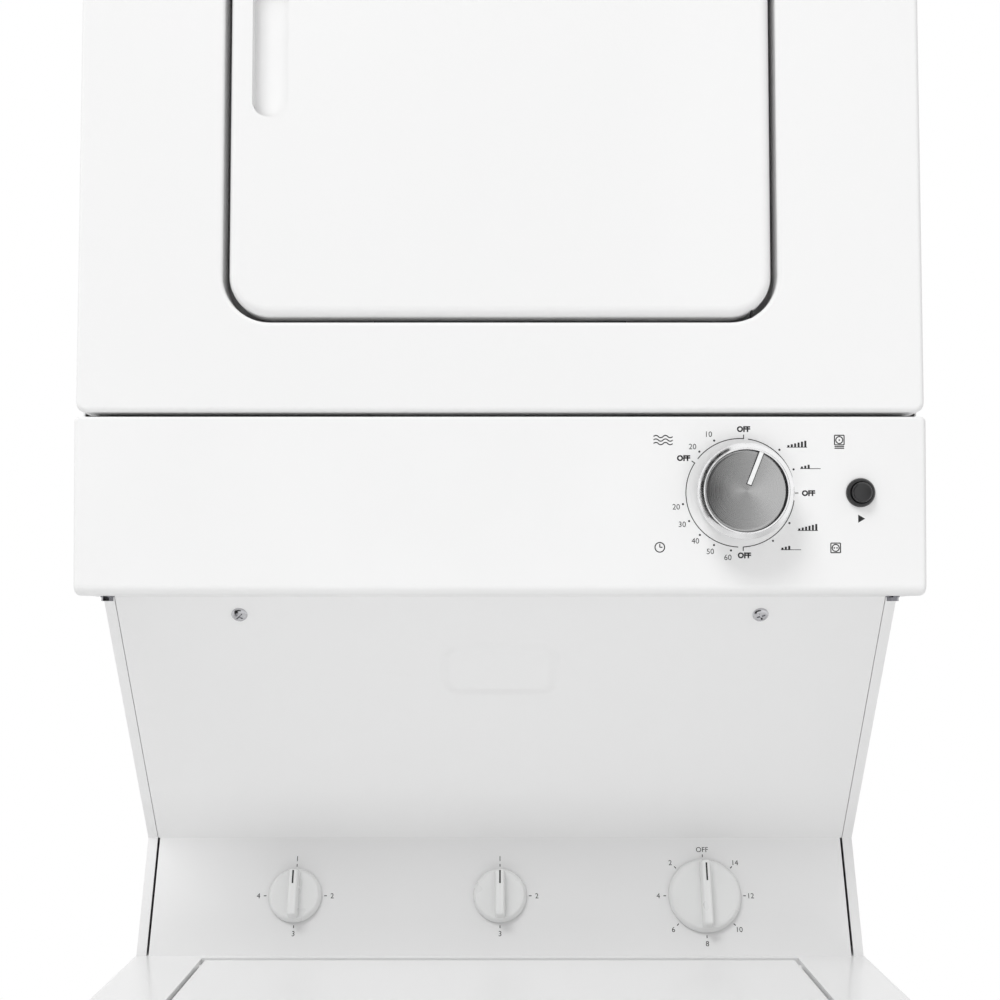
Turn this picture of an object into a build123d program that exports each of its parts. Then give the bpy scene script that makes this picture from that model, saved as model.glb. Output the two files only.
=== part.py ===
from build123d import *

import os
from math import atan2, cos, degrees, hypot, radians, sin, sqrt

# Stacked laundry centre: a top-loading washer below and a tumble dryer above,
# tied together by two side supports around a sloping recess.
# Millimetres, X to the right, Y to the back, Z up, origin on the floor under the middle.

# Overall sizes
stack_width = 606.0
stack_height = 1822.0
dryer_height = 680.0
body_depth = 666.0
collar_reach = 26.0
sheet = 1.2
plastic_wall = 2.5

# Clearances
running_gap = 0.05
seat_gap = 0.3
hole_gap = 0.5
swing_gap = 4.0

# Depth stations
front_y = -(body_depth + collar_reach) / 2
rear_y = front_y + body_depth
back_y = rear_y - sheet

# Washer body
washer_side_inset = 3.0
foot_height = 28.0
deck_rim = 38.0
deck_overhang = 2.0
deck_edge_radius = 6.0
cabinet_corner_radius = 18.0
cabinet_rear_flange = 22.0
base_floor = 2.0
base_rim = 34.0
base_hole_radius = 85.0
foot_inset_x = 45.0
foot_inset_front = 48.0
foot_inset_rear = 45.0
foot_pad_radius = 24.0
foot_pad_height = 12.0
foot_pad_edge = 5.4
foot_pad_neck_radius = 13.2
foot_stud_radius = 6.0
foot_boss_radius = 14.0
rib_spread = 135.0
rib_depth = 5.0
rib_width = 26.0
rib_end_gap = 120.0
rib_taper = 35.0

# Tub, basket and agitator, all turned about one upright axis
tub_setback = 246.0
tub_radius = 235.0
tub_wall = 4.0
tub_floor_z = 300.0
tub_rim_drop = 75.0
tub_ring_height = 15.0
tub_mouth_radius = 176.0
lug_height = 14.0
lug_z = 330.0
basket_radius = 212.0
basket_wall = 1.5
basket_floor_z = 330.0
basket_rim_drop = 33.0
balance_ring_height = 26.0
balance_ring_shoulder = 18.2
balance_ring_chamfer = 7.8
balance_ring_lip = 15.6
balance_mouth_radius = 182.0
shaft_radius = 12.0
hub_radius = 30.0
agitator_skirt_radius = 150.0
agitator_column_radius = 54.0
agitator_neck_radius = 44.0
agitator_floor_gap = 8.0
agitator_drop = 102.0
agitator_fin_drop = 95.0
agitator_fin_reach = 140.0
agitator_fin_width = 9.0
agitator_fin_count = 4
agitator_fin_sag = 10.6
skirt_rise = 70.0
skirt_flare_radius = 112.0
agitator_wall = 6.0
agitator_cap_height = 58.0
agitator_cap_taper = 8.0
agitator_cap_rim = 3.0
agitator_cap_cup_taper = 1.0
agitator_cap_cup_edge = 26.1
agitator_cap_cup_floor = 20.3

# Suspension
rod_inset = 50.0
rod_spread_y = 215.0
rod_radius = 5.0
rod_ball_radius = 11.0
rod_crown_radius = 8.25
rod_crown_height = 13.2
rod_cup_radius = 16.0
rod_cup_height = 46.0
brace_drop = 64.0
brace_reach = 76.0
brace_sheet = 3.0

# Washer drive
gearcase_flange_radius = 92.0
gearcase_flange = 12.0
gearcase_radius = 68.0
gearcase_height = 86.0
gearcase_foot_radius = 40.8
gearcase_foot_height = 25.8
gearcase_ribs = 8
gearcase_rib = 5.0
gearcase_rib_height = 51.6
drive_pulley_radius = 110.0
drive_pulley_z = 160.0
drive_pulley_width = 18.0
pulley_rim = 9.0
pulley_web = 5.0
pulley_web_edge = 9.94
pulley_spoke_holes = 6
shaft_tip_drop = 20.0
motor_offset_y = 166.0
washer_motor_radius = 60.0
washer_motor_height = 96.0
washer_motor_foot_radius = 33.0
motor_cap_step = 5.0
motor_band = 10.0
motor_bore_depth = 57.6
motor_shaft_reach = 48.0
washer_motor_pulley_radius = 22.0
motor_shaft_radius = 6.0
belt_thickness = 3.0
belt_width = 14.0
pump_x = -150.0
pump_forward = 90.0
pump_radius = 42.0
pump_height = 74.0
pump_motor_radius = 29.4
pump_motor_height = 37.0
pump_volute_top = 62.9
pump_neck_radius = 21.0
pump_stub_offset = 25.2
pump_stub_rise = 50.32
pump_stub_length = 84.0
pump_stub_radius = 10.0
drain_inset = 90.0
drain_drop = 70.0
drain_radius = 16.0
drain_reach = 22.0
drain_bore = 12.0
drain_tail = 20.0
drain_flange = 4.0
drain_flange_lip = 9.0

# Lid
lid_length = 316.0
lid_half_width = 240.0
lid_thickness = 14.0
lid_gap = 2.0
lid_ledge = 14.0
lid_corner_radius = 22.0
lid_pin_radius = 4.0
lid_pin_setback = 7.0
lid_pin_reach = 12.0
lid_margin = 13.0
lid_grip_width = 120.0
lid_grip_depth = 14.0
lid_edge_radius = 4.0
lid_pin_root = 18.0
hinge_block = 11.0
hinge_block_half = 10.0
hinge_block_drop = 13.0

# Recess between washer and dryer
recess_setback = 228.0
recess_height = 202.0
recess_slope = 0.7265
support_inset = 3.0
support_flange = 8.0
support_seat = 24.0
panel_seam = 1.0
panel_return = 12.0
emboss_half_width = 48.0
emboss_drop = 34.0
emboss_length = 54.0
emboss_height = 2.5
emboss_border = 11.0
emboss_corner = 14.3
emboss_crown_corner = 7.7
panel_screw_x = 196.7
panel_screw_drop = 13.5
panel_screw_radius = 6.0
panel_screw_dome = 2.6
panel_screw_round = 2.21
cross_width = 1.3
cross_span = 6.4
cross_depth = 1.4
panel_screw_shank = 2.4
panel_screw_length = 12.0
washer_console_gap = 11.0
washer_console_end_gap = 10.0
washer_console_depth = 70.0
washer_console_height = 90.0
washer_knob_spread = 170.0
washer_knob_radius = 22.0
washer_knob_height = 20.0
knob_skirt_height = 7.0
knob_skirt_taper = 6.0
knob_bar_inset = 1.8
knob_bar_width = 9.0
knob_bar_taper = 3.0
cycle_knob_radius = 30.0
knob_stem_radius = 4.0
knob_stem_length = 14.0
knob_foot_gap = 1.0

# Water inlet and its valve
valve_inset = 110.0
valve_rise = 160.0
valve_pitch = 60.0
valve_port_radius = 13.3
valve_port_bore = 9.0
valve_port_reach = 18.0
valve_depth = 46.0
port_bead = 2.0
port_bead_lip = 4.0
valve_height = 54.0
valve_margin = 24.0
valve_corner = 8.0
solenoid_radius = 15.0
solenoid_length = 34.0

# Dryer body
dryer_setback = 169.5
dryer_face_radius = 4.0
dryer_corner_radius = 7.0
face_flange = 22.0
dryer_rear_flange = 20.0

# Dryer console under the front panel
console_height = 127.0
console_seam = 3.7
console_proud = 3.5
console_depth = 62.0
console_lean = 4.4
console_wall = 3.0
console_bottom_radius = 8.0
console_top_radius = 2.0
console_side_radius = 4.0
console_top_flange = 24.0
console_screw_inset = 18.0
console_screw_setback = 30.0
console_screw_radius = 5.0
console_screw_hex = 4.4
console_screw_head = 3.7
console_screw_shank = 2.4
console_screw_length = 14.0

# Timer dial and start button, on the console's leaning face
timer_inset = 132.7
timer_rise = 72.8
timer_knob_height = 27.0
timer_knob_ring_radius = 33.5
timer_knob_ring_depth = 7.0
timer_knob_face_radius = 29.0
timer_knob_face_recess = 0.8
timer_knob_waist_radius = 27.0
pointer_turn = 21.5
pointer_width = 3.2
pointer_inner = 4.7
timer_body_size = 62.0
timer_body_depth = 34.0
start_inset = 47.5
start_bezel_radius = 10.3
start_bezel_height = 3.2
start_bezel_chamfer = 0.96
start_button_radius = 7.2
start_button_height = 7.0
start_travel = 3.0
start_body_radius = 8.6
start_body_length = 30.0
start_button_length = 26.0

# Dryer door, set into the front panel and turning on two upright pins
door_opening_width = 398.0
door_opening_height = 408.0
door_opening_rise = 195.5
door_opening_radius = 34.0
door_gap = 4.3
door_proud = 1.0
door_depth = 19.5
door_edge_radius = 7.0
door_pin_inset = 14.2
door_pin_setback = 5.5
door_pin_radius = 3.0
door_pin_start = 10.0
door_pin_tip = 44.0
door_pull_width = 26.0
door_pull_height = 110.0
door_pull_depth = 13.0
door_pull_inset = 16.0
liner_plate = 3.0
liner_dish = 6.5
liner_dish_wall = 2.0
liner_dish_taper = 12.0
seal_width = 14.0

# Drum, turning about a fore-and-aft axis
drum_rise = 403.0
drum_radius = 266.0
drum_wall = 1.2
drum_front_gap = 26.2
drum_rear_gap = 23.0
drum_lip = 20.0
drum_shaft_radius = 10.0
drum_shaft_length = 22.0
drum_plate_radius = 60.0
drum_plate = 3.0
baffle_count = 3
baffle_height = 48.0
baffle_foot = 60.0
baffle_crest = 22.0
baffle_crest_radius = 6.6
baffle_end_gap = 24.0
bulkhead_setback = 42.3
throat_width = 340.0
throat_height = 350.0
throat_radius = 60.0
throat_reach = 19.0
collar_radius = 240.0
collar_depth = 30.0
rear_bulkhead_gap = 33.8
hub_outer_radius = 22.0
hub_length = 19.0
air_ring_radius = 78.0
air_hole_radius = 9.0
air_hole_count = 12

# Lint screen and its duct below the door throat
lint_half_width = 90.0
lint_thickness = 8.0
lint_frame = 7.0
lint_window_depth = 5.6
lint_length = 132.0
lint_grip = 10.0
lint_setback = 4.0
lint_gap = 1.0
lint_duct_wall = 1.5
lint_duct_rise = 8.0

# Motor, blower and exhaust on the dryer floor
motor_rise = 61.0
dryer_motor_radius = 52.0
dryer_motor_gap = 64.0
dryer_motor_length = 116.0
dryer_motor_cap_radius = 26.0
motor_cradle_drop = 31.2
motor_cradle_half_width = 40.0
dryer_shaft_radius = 7.0
motor_pulley_radius = 14.0
motor_pulley_gap = 24.0
motor_pulley_width = 20.0
idler_radius = 25.0
idler_width = 18.0
idler_pin_radius = 5.0
blower_radius = 48.0
blower_length = 44.0
blower_blades = 16
blower_blade_depth = 12.0
blower_blade_width = 2.0
blower_blade_root = 1.0
blower_wall = 2.0
blower_tip_gap = 4.0
blower_gap = 12.2
blower_inlet_radius = 34.0
exhaust_x = -150.0
exhaust_radius = 50.8
exhaust_wall = 0.8
heater_half_width = 125.0
heater_height = 250.0
heater_depth = 26.0
cord_inlet_inset = 88.0

# Places that follow from the sizes above
stack_half = stack_width / 2
washer_half = stack_half - washer_side_inset
support_half_width = washer_half - support_inset
recess_top_z = stack_height - dryer_height
recess_knee_z = recess_top_z - recess_height
deck_z = recess_knee_z - washer_console_height
cabinet_front_y = front_y + deck_overhang
cabinet_top_z = deck_z - deck_rim
lid_front_y = front_y + lid_margin
lid_rear_y = lid_front_y + lid_length
lid_hinge_y = lid_rear_y - lid_pin_setback
lid_bottom_z = deck_z - lid_thickness
lid_hinge_z = deck_z - lid_thickness / 2
washer_console_foot_y = lid_rear_y + washer_console_gap
washer_console_back = washer_console_foot_y + washer_console_depth
washer_console_half_width = support_half_width - washer_console_end_gap
tub_y = front_y + tub_setback
tub_rim_z = deck_z - tub_rim_drop
basket_rim_z = tub_rim_z - basket_rim_drop
agitator_top_z = basket_rim_z - agitator_drop
agitator_fin_top_z = agitator_top_z - agitator_fin_drop
rod_x = washer_half - rod_inset
brace_z = deck_z - brace_drop
pump_y = tub_y - pump_forward
drain_x = washer_half - drain_inset
drain_z = deck_z - drain_drop
valve_x = valve_inset - washer_half
valve_z = deck_z + valve_rise
recess_depth_y = front_y + recess_setback
dryer_front_y = front_y + dryer_setback
timer_x = stack_half - timer_inset
start_x = stack_half - start_inset
console_screw_x = stack_half - console_screw_inset
console_bottom_z = recess_top_z
console_top_z = console_bottom_z + console_height
console_front_y = dryer_front_y - console_proud
console_back_y = console_front_y + console_depth
face_bottom_z = console_top_z + console_seam
face_back_y = dryer_front_y + face_flange
opening_bottom_z = console_bottom_z + door_opening_rise
opening_z = opening_bottom_z + door_opening_height / 2
recess_knee_y = recess_depth_y + (recess_top_z - recess_knee_z) * recess_slope
recess_lean = atan2(recess_knee_y - recess_depth_y, recess_top_z - recess_knee_z)
basin_top_z = recess_top_z + sheet
bulkhead_y = dryer_front_y + bulkhead_setback
rear_bulkhead_y = back_y - rear_bulkhead_gap
drum_z = recess_top_z + drum_rise
drum_front_y = bulkhead_y + drum_front_gap
drum_depth = rear_bulkhead_y - drum_rear_gap - drum_front_y
lint_duct_foot_z = recess_top_z + lint_duct_rise
motor_z = recess_top_z + motor_rise
blower_front_y = bulkhead_y + blower_gap
dryer_motor_front_y = blower_front_y + dryer_motor_gap
motor_pulley_y = dryer_motor_front_y + dryer_motor_length + motor_pulley_gap

os.makedirs("parts", exist_ok=True)


def block(x_span, y_span, z_span, mode=Mode.ADD):
    """Add or cut a box that lies between pairs of limits."""
    spans = (x_span, y_span, z_span)
    middle = tuple((low + high) / 2 for low, high in spans)
    with Locations(middle):
        Box(*[high - low for low, high in spans], mode=mode)


def rod(start, direction, length, radius, mode=Mode.ADD):
    """Add or cut a round bar from a start point along a direction."""
    with Locations(Plane(origin=start, z_dir=direction)):
        Cylinder(radius, length, align=(Align.CENTER, Align.CENTER, Align.MIN), mode=mode)


def turned(plane, points, mode=Mode.ADD):
    """Turn a profile of (radius, height) points about the plane's upright axis."""
    with BuildSketch(plane) as section:
        with BuildLine():
            Polyline(*points, close=True)
        make_face()
    revolve(section.sketch, axis=Axis(plane.origin, plane.y_dir), mode=mode)


def rounded_plate(plane, width, height, radius, thickness, mode=Mode.ADD):
    """Add or cut a plate with rounded corners, standing on a plane."""
    with BuildSketch(plane) as outline:
        RectangleRounded(width, height, radius)
    extrude(outline.sketch, amount=thickness, mode=mode)


def hull_loop(plane, circles, thickness, width):
    """Add a flat belt round circles given as (x, y, radius), standing on a plane."""
    with BuildSketch(plane) as outer:
        with BuildLine():
            for x, y, radius in circles:
                CenterArc((x, y), radius + thickness, 0, 360)
        make_hull()
    with BuildSketch(plane) as inner:
        with BuildLine():
            for x, y, radius in circles:
                CenterArc((x, y), radius, 0, 360)
        make_hull()
    extrude(outer.sketch, amount=width)
    extrude(inner.sketch, amount=width, mode=Mode.SUBTRACT)


def save(part, name):
    """Label a finished piece and write it under its own name."""
    part.label = name
    export_step(part, f"parts/{name}.step")


def upright(x, y, z=0.0):
    """Give a plane whose second axis points up, for pieces turned about a vertical axis."""
    return Plane(origin=(x, y, z), x_dir=(1, 0, 0), z_dir=(0, -1, 0))


def fore_aft(x, z, y=0.0):
    """Give a plane whose second axis points back, for pieces turned about a level axis."""
    return Plane(origin=(x, y, z), x_dir=(1, 0, 0), z_dir=(0, 0, 1))


tub_axis = upright(0, tub_y)
drum_axis = fore_aft(0, drum_z)

# Washer base: a pressed pan with a raised rim, an opening under the drive and four foot bosses
base_half = washer_half - sheet
base_front_y = cabinet_front_y + sheet
base_back_y = back_y - sheet
base_mid_y = (base_front_y + base_back_y) / 2
foot_places = {
    "foot_front_left": (-washer_half + foot_inset_x, front_y + foot_inset_front),
    "foot_front_right": (washer_half - foot_inset_x, front_y + foot_inset_front),
    "foot_rear_left": (-washer_half + foot_inset_x, base_back_y - foot_inset_rear),
    "foot_rear_right": (washer_half - foot_inset_x, base_back_y - foot_inset_rear),
}
with BuildPart() as washer_base:
    with BuildSketch(Plane.XY.offset(foot_height)) as pan_outline:
        with Locations((0, base_mid_y)):
            Rectangle(2 * base_half, base_back_y - base_front_y)
        fillet(pan_outline.vertices().group_by(Axis.Y)[0], cabinet_corner_radius - sheet)
    extrude(amount=base_rim)
    with BuildSketch(Plane.XY.offset(foot_height + base_floor)) as pan_inside:
        with Locations((0, base_mid_y)):
            Rectangle(2 * base_half, base_back_y - base_front_y)
        fillet(pan_inside.vertices().group_by(Axis.Y)[0], cabinet_corner_radius - sheet)
        offset(amount=-base_floor, mode=Mode.REPLACE)
    extrude(amount=base_rim, mode=Mode.SUBTRACT)
    with BuildSketch(Plane.XY.offset(foot_height)):
        with Locations((0, tub_y)):
            Circle(base_hole_radius)
    extrude(amount=base_floor, mode=Mode.SUBTRACT)
    for foot_x, foot_y in foot_places.values():
        rod((foot_x, foot_y, foot_height), (0, 0, 1), base_rim, foot_boss_radius)
        rod(
            (foot_x, foot_y, foot_height),
            (0, 0, 1),
            base_rim,
            foot_stud_radius + running_gap,
            Mode.SUBTRACT,
        )
save(washer_base.part, "washer_base")

# Levelling feet: a moulded pad on a threaded stud that screws into the base
for foot_name, (foot_x, foot_y) in foot_places.items():
    with BuildPart() as foot:
        turned(
            upright(foot_x, foot_y),
            [
                (0, 0),
                (foot_pad_radius, 0),
                (foot_pad_radius, foot_pad_edge),
                (foot_pad_neck_radius, foot_pad_height),
                (foot_stud_radius, foot_pad_height),
                (foot_stud_radius, foot_height + base_rim - base_floor),
                (0, foot_height + base_rim - base_floor),
            ],
        )
    save(foot.part, foot_name)

# Washer cabinet: one sheet wrapped round the front and sides, with braces in its upper corners
rod_places = [(side * rod_x, tub_y + end * rod_spread_y) for side in (-1, 1) for end in (-1, 1)]
cabinet_mid_y = (cabinet_front_y + back_y) / 2
with BuildPart() as washer_cabinet:
    with BuildSketch(Plane.XY.offset(foot_height)) as wrap:
        with Locations((0, cabinet_mid_y)):
            Rectangle(2 * washer_half, back_y - cabinet_front_y)
        fillet(wrap.vertices().group_by(Axis.Y)[0], cabinet_corner_radius)
        offset(amount=-sheet, mode=Mode.SUBTRACT)
        with Locations((0, back_y)):
            Rectangle(2 * (washer_half - cabinet_rear_flange), 4 * sheet, mode=Mode.SUBTRACT)
    extrude(amount=cabinet_top_z - foot_height)
    for hang_x, hang_y in rod_places:
        side = 1 if hang_x > 0 else -1
        wall_x = side * (washer_half - sheet)
        block(
            sorted((wall_x - side * brace_reach, wall_x)),
            (hang_y - rod_cup_radius, hang_y + rod_cup_radius),
            (brace_z - brace_sheet, brace_z),
        )
        rod(
            (hang_x, hang_y, brace_z - brace_sheet),
            (0, 0, 1),
            brace_sheet,
            rod_radius + running_gap,
            Mode.SUBTRACT,
        )
save(washer_cabinet.part, "washer_cabinet")

# Washer rear panel: a flat sheet with two pressed stiffening ribs
panel_mid_z = (foot_height + deck_z) / 2
with BuildPart() as washer_rear_panel:
    block((-washer_half, washer_half), (back_y, rear_y), (foot_height, deck_z))
    for rib_x in (-rib_spread, rib_spread):
        rib_plane = Plane(origin=(rib_x, back_y, panel_mid_z), x_dir=(0, 0, 1), z_dir=(0, -1, 0))
        with BuildSketch(rib_plane) as rib:
            SlotOverall(deck_z - foot_height - 2 * rib_end_gap, rib_width)
        extrude(amount=rib_depth, taper=rib_taper)
    rod((drain_x, back_y, drain_z), (0, 1, 0), sheet, drain_radius + hole_gap, Mode.SUBTRACT)
save(washer_rear_panel.part, "washer_rear_panel")

# Outer tub: a moulded bowl with a drive hole and four lugs that hang on the suspension rods
lug_reach = hypot(rod_x, rod_spread_y)
with BuildPart() as outer_tub:
    turned(
        tub_axis,
        [
            (shaft_radius + hole_gap, tub_floor_z),
            (tub_radius, tub_floor_z),
            (tub_radius, tub_rim_z),
            (tub_radius - tub_wall, tub_rim_z),
            (tub_radius - tub_wall, tub_floor_z + tub_wall),
            (shaft_radius + hole_gap, tub_floor_z + tub_wall),
        ],
    )
    for hang_x, hang_y in rod_places:
        turn = degrees(atan2(hang_y - tub_y, hang_x))
        with Locations(Location((0, tub_y, lug_z + lug_height / 2), (0, 0, turn))):
            with Locations(((tub_radius - tub_wall / 2 + lug_reach) / 2, 0, 0)):
                Box(lug_reach - tub_radius + tub_wall / 2, 2 * rod_cup_radius, lug_height)
        rod((hang_x, hang_y, lug_z), (0, 0, 1), lug_height, rod_cup_radius)
        rod((hang_x, hang_y, lug_z), (0, 0, 1), lug_height, rod_radius + running_gap, Mode.SUBTRACT)
save(outer_tub.part, "outer_tub")

# Suspension rods: each hangs by a ball on its brace and carries a lug on a spring cup
with BuildPart() as suspension_rods:
    for hang_x, hang_y in rod_places:
        turned(
            upright(hang_x, hang_y),
            [
                (0, lug_z - rod_cup_height),
                (rod_cup_radius, lug_z - rod_cup_height),
                (rod_cup_radius, lug_z),
                (rod_radius, lug_z),
                (rod_radius, brace_z),
                (rod_ball_radius, brace_z),
                (rod_crown_radius, brace_z + rod_ball_radius),
                (0, brace_z + rod_crown_height),
            ],
        )
save(suspension_rods.part, "suspension_rods")

# Tub ring: the splash rim that snaps over the tub and narrows its mouth
with BuildPart() as tub_ring:
    turned(
        tub_axis,
        [
            (tub_mouth_radius, tub_rim_z + tub_ring_height - plastic_wall),
            (tub_radius, tub_rim_z),
            (tub_radius, tub_rim_z + plastic_wall),
            (tub_mouth_radius + plastic_wall, tub_rim_z + tub_ring_height),
            (tub_mouth_radius, tub_rim_z + tub_ring_height),
        ],
    )
save(tub_ring.part, "tub_ring")

# Wash basket: a thin drum with a rolled rim and a hub on the drive shaft
hub_height = 26.0
with BuildPart() as wash_basket:
    turned(
        tub_axis,
        [
            (shaft_radius + running_gap, basket_floor_z - hub_height / 2),
            (hub_radius, basket_floor_z - hub_height / 2),
            (hub_radius, basket_floor_z),
            (basket_radius, basket_floor_z),
            (basket_radius, basket_rim_z),
            (basket_radius - basket_wall, basket_rim_z),
            (basket_radius - basket_wall, basket_floor_z + basket_wall),
            (shaft_radius + running_gap, basket_floor_z + basket_wall),
        ],
    )
save(wash_basket.part, "wash_basket")

# Balance ring: a closed hoop that sits on the basket's rim
with BuildPart() as balance_ring:
    turned(
        tub_axis,
        [
            (balance_mouth_radius, basket_rim_z),
            (basket_radius, basket_rim_z),
            (basket_radius, basket_rim_z + balance_ring_shoulder),
            (basket_radius - balance_ring_chamfer, basket_rim_z + balance_ring_height),
            (balance_mouth_radius + balance_ring_chamfer, basket_rim_z + balance_ring_height),
            (balance_mouth_radius, basket_rim_z + balance_ring_lip),
        ],
    )
save(balance_ring.part, "balance_ring")

# Agitator: a flared column with upright fins, free to swing on the drive shaft
agitator_foot_z = basket_floor_z + basket_wall + agitator_floor_gap
with BuildPart() as agitator:
    with BuildSketch(tub_axis) as bell:
        with BuildLine():
            foot_edge = Line(
                (agitator_skirt_radius, agitator_foot_z),
                (agitator_skirt_radius, agitator_foot_z + agitator_wall),
            )
            flare = RadiusArc(
                foot_edge @ 1,
                (agitator_column_radius, agitator_foot_z + skirt_rise),
                skirt_flare_radius,
            )
            column = Line(flare @ 1, (agitator_neck_radius, agitator_top_z))
            top = Line(column @ 1, (shaft_radius + running_gap, agitator_top_z))
            bore = Line(top @ 1, (shaft_radius + running_gap, agitator_foot_z))
            Line(bore @ 1, foot_edge @ 0)
        make_face()
    revolve(axis=Axis(tub_axis.origin, tub_axis.y_dir))
    for turn in range(agitator_fin_count):
        angle = radians(turn * 360 / agitator_fin_count)
        fin_plane = Plane(
            origin=tub_axis.origin,
            x_dir=(cos(angle), sin(angle), 0),
            z_dir=(sin(angle), -cos(angle), 0),
        )
        with BuildSketch(fin_plane) as fin:
            with BuildLine():
                rise = Line(
                    (agitator_fin_reach, agitator_foot_z + agitator_wall / 2),
                    (agitator_fin_reach, agitator_foot_z + skirt_rise),
                )
                sweep_in = SagittaArc(
                    rise @ 1,
                    (agitator_neck_radius, agitator_fin_top_z),
                    agitator_fin_sag,
                )
                inner = Line(sweep_in @ 1, (agitator_neck_radius, agitator_foot_z + agitator_wall / 2))
                Line(inner @ 1, rise @ 0)
            make_face()
        extrude(amount=agitator_fin_width / 2, both=True)
save(agitator.part, "agitator")

# Agitator cap: a shallow cup that closes the top of the column
cap_top_radius = agitator_neck_radius - agitator_cap_taper
cap_cup_radius = cap_top_radius - agitator_cap_rim
with BuildPart() as agitator_cap:
    turned(
        tub_axis,
        [
            (0, agitator_top_z),
            (agitator_neck_radius, agitator_top_z),
            (cap_top_radius, agitator_top_z + agitator_cap_height),
            (cap_cup_radius, agitator_top_z + agitator_cap_height),
            (cap_cup_radius - agitator_cap_cup_taper, agitator_top_z + agitator_cap_cup_edge),
            (0, agitator_top_z + agitator_cap_cup_floor),
        ],
    )
save(agitator_cap.part, "agitator_cap")

# Gearcase: bolted under the tub by its flange, with cooling ribs round the body
gearcase_foot_z = tub_floor_z - gearcase_flange - gearcase_height
with BuildPart() as gearcase:
    turned(
        tub_axis,
        [
            (shaft_radius + running_gap, gearcase_foot_z),
            (gearcase_foot_radius, gearcase_foot_z),
            (gearcase_radius, gearcase_foot_z + gearcase_foot_height),
            (gearcase_radius, tub_floor_z - gearcase_flange),
            (gearcase_flange_radius, tub_floor_z - gearcase_flange),
            (gearcase_flange_radius, tub_floor_z),
            (shaft_radius + running_gap, tub_floor_z),
        ],
    )
    with Locations((0, tub_y, tub_floor_z - gearcase_flange - gearcase_rib_height / 2)):
        with PolarLocations(gearcase_radius, gearcase_ribs):
            Box(gearcase_flange, gearcase_rib, gearcase_rib_height)
save(gearcase.part, "gearcase")

# Washer drive pulley: a spoked wheel, with the shaft that runs up to the basket and agitator
pulley_mid_z = drive_pulley_z + drive_pulley_width / 2
shaft_tip_z = agitator_top_z - shaft_tip_drop
with BuildPart() as washer_drive_pulley:
    turned(
        tub_axis,
        [
            (0, drive_pulley_z),
            (hub_radius, drive_pulley_z),
            (hub_radius, pulley_mid_z - pulley_web / 2),
            (drive_pulley_radius - pulley_rim, pulley_mid_z - pulley_web / 2),
            (drive_pulley_radius - pulley_rim, drive_pulley_z),
            (drive_pulley_radius, drive_pulley_z),
            (drive_pulley_radius, drive_pulley_z + drive_pulley_width),
            (drive_pulley_radius - pulley_rim, drive_pulley_z + drive_pulley_width),
            (drive_pulley_radius - pulley_rim, pulley_mid_z + pulley_web / 2),
            (hub_radius, pulley_mid_z + pulley_web / 2),
            (hub_radius, gearcase_foot_z - seat_gap),
            (shaft_radius, gearcase_foot_z - seat_gap),
            (shaft_radius, shaft_tip_z),
            (0, shaft_tip_z),
        ],
    )
    spoke_radius = (drive_pulley_radius - pulley_rim + hub_radius) / 2
    spoke_hole_radius = (drive_pulley_radius - pulley_rim - hub_radius) / 2 - pulley_web_edge
    with Locations((0, tub_y, pulley_mid_z)):
        with PolarLocations(spoke_radius, pulley_spoke_holes):
            Cylinder(spoke_hole_radius, 2 * pulley_web, mode=Mode.SUBTRACT)
save(washer_drive_pulley.part, "washer_drive_pulley")

# Washer motor: a ribbed can hung under the tub beside the gearcase
washer_motor_y = tub_y + motor_offset_y
washer_motor_foot_z = tub_floor_z - washer_motor_height
motor_axis = upright(0, washer_motor_y)
with BuildPart() as washer_motor:
    turned(
        motor_axis,
        [
            (0, washer_motor_foot_z),
            (washer_motor_foot_radius, washer_motor_foot_z),
            (washer_motor_radius, washer_motor_foot_z + motor_band),
            (washer_motor_radius, tub_floor_z - 2 * motor_band),
            (washer_motor_radius - motor_cap_step, tub_floor_z - motor_band),
            (washer_motor_radius - motor_cap_step, tub_floor_z),
            (0, tub_floor_z),
        ],
    )
    rod(
        (0, washer_motor_y, washer_motor_foot_z),
        (0, 0, 1),
        motor_bore_depth,
        motor_shaft_radius + running_gap,
        Mode.SUBTRACT,
    )
save(washer_motor.part, "washer_motor")

# Washer motor pulley with its shaft
with BuildPart() as washer_motor_pulley:
    turned(
        motor_axis,
        [
            (0, drive_pulley_z),
            (washer_motor_pulley_radius, drive_pulley_z),
            (washer_motor_pulley_radius, drive_pulley_z + drive_pulley_width),
            (motor_shaft_radius, drive_pulley_z + drive_pulley_width),
            (motor_shaft_radius, washer_motor_foot_z + motor_shaft_reach),
            (0, washer_motor_foot_z + motor_shaft_reach),
        ],
    )
save(washer_motor_pulley.part, "washer_motor_pulley")

# Washer belt round the two pulleys
with BuildPart() as washer_belt:
    hull_loop(
        Plane.XY.offset(pulley_mid_z - belt_width / 2),
        [
            (0, tub_y, drive_pulley_radius + seat_gap),
            (0, washer_motor_y, washer_motor_pulley_radius + seat_gap),
        ],
        belt_thickness,
        belt_width,
    )
save(washer_belt.part, "washer_belt")

# Drain pump: a motor can over a volute, with its outlet stub
pump_foot_z = tub_floor_z - pump_height
pump_axis = upright(pump_x, pump_y)
with BuildPart() as drain_pump:
    turned(
        pump_axis,
        [
            (0, pump_foot_z),
            (pump_motor_radius, pump_foot_z),
            (pump_motor_radius, pump_foot_z + pump_motor_height),
            (pump_radius, pump_foot_z + pump_motor_height),
            (pump_radius, pump_foot_z + pump_volute_top),
            (pump_neck_radius, pump_foot_z + pump_volute_top),
            (pump_neck_radius, tub_floor_z),
            (0, tub_floor_z),
        ],
    )
    stub_start = (pump_x - pump_stub_offset, pump_y, pump_foot_z + pump_stub_rise)
    rod(stub_start, (0, 1, 0), pump_stub_length, pump_stub_radius)
save(drain_pump.part, "drain_pump")

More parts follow.
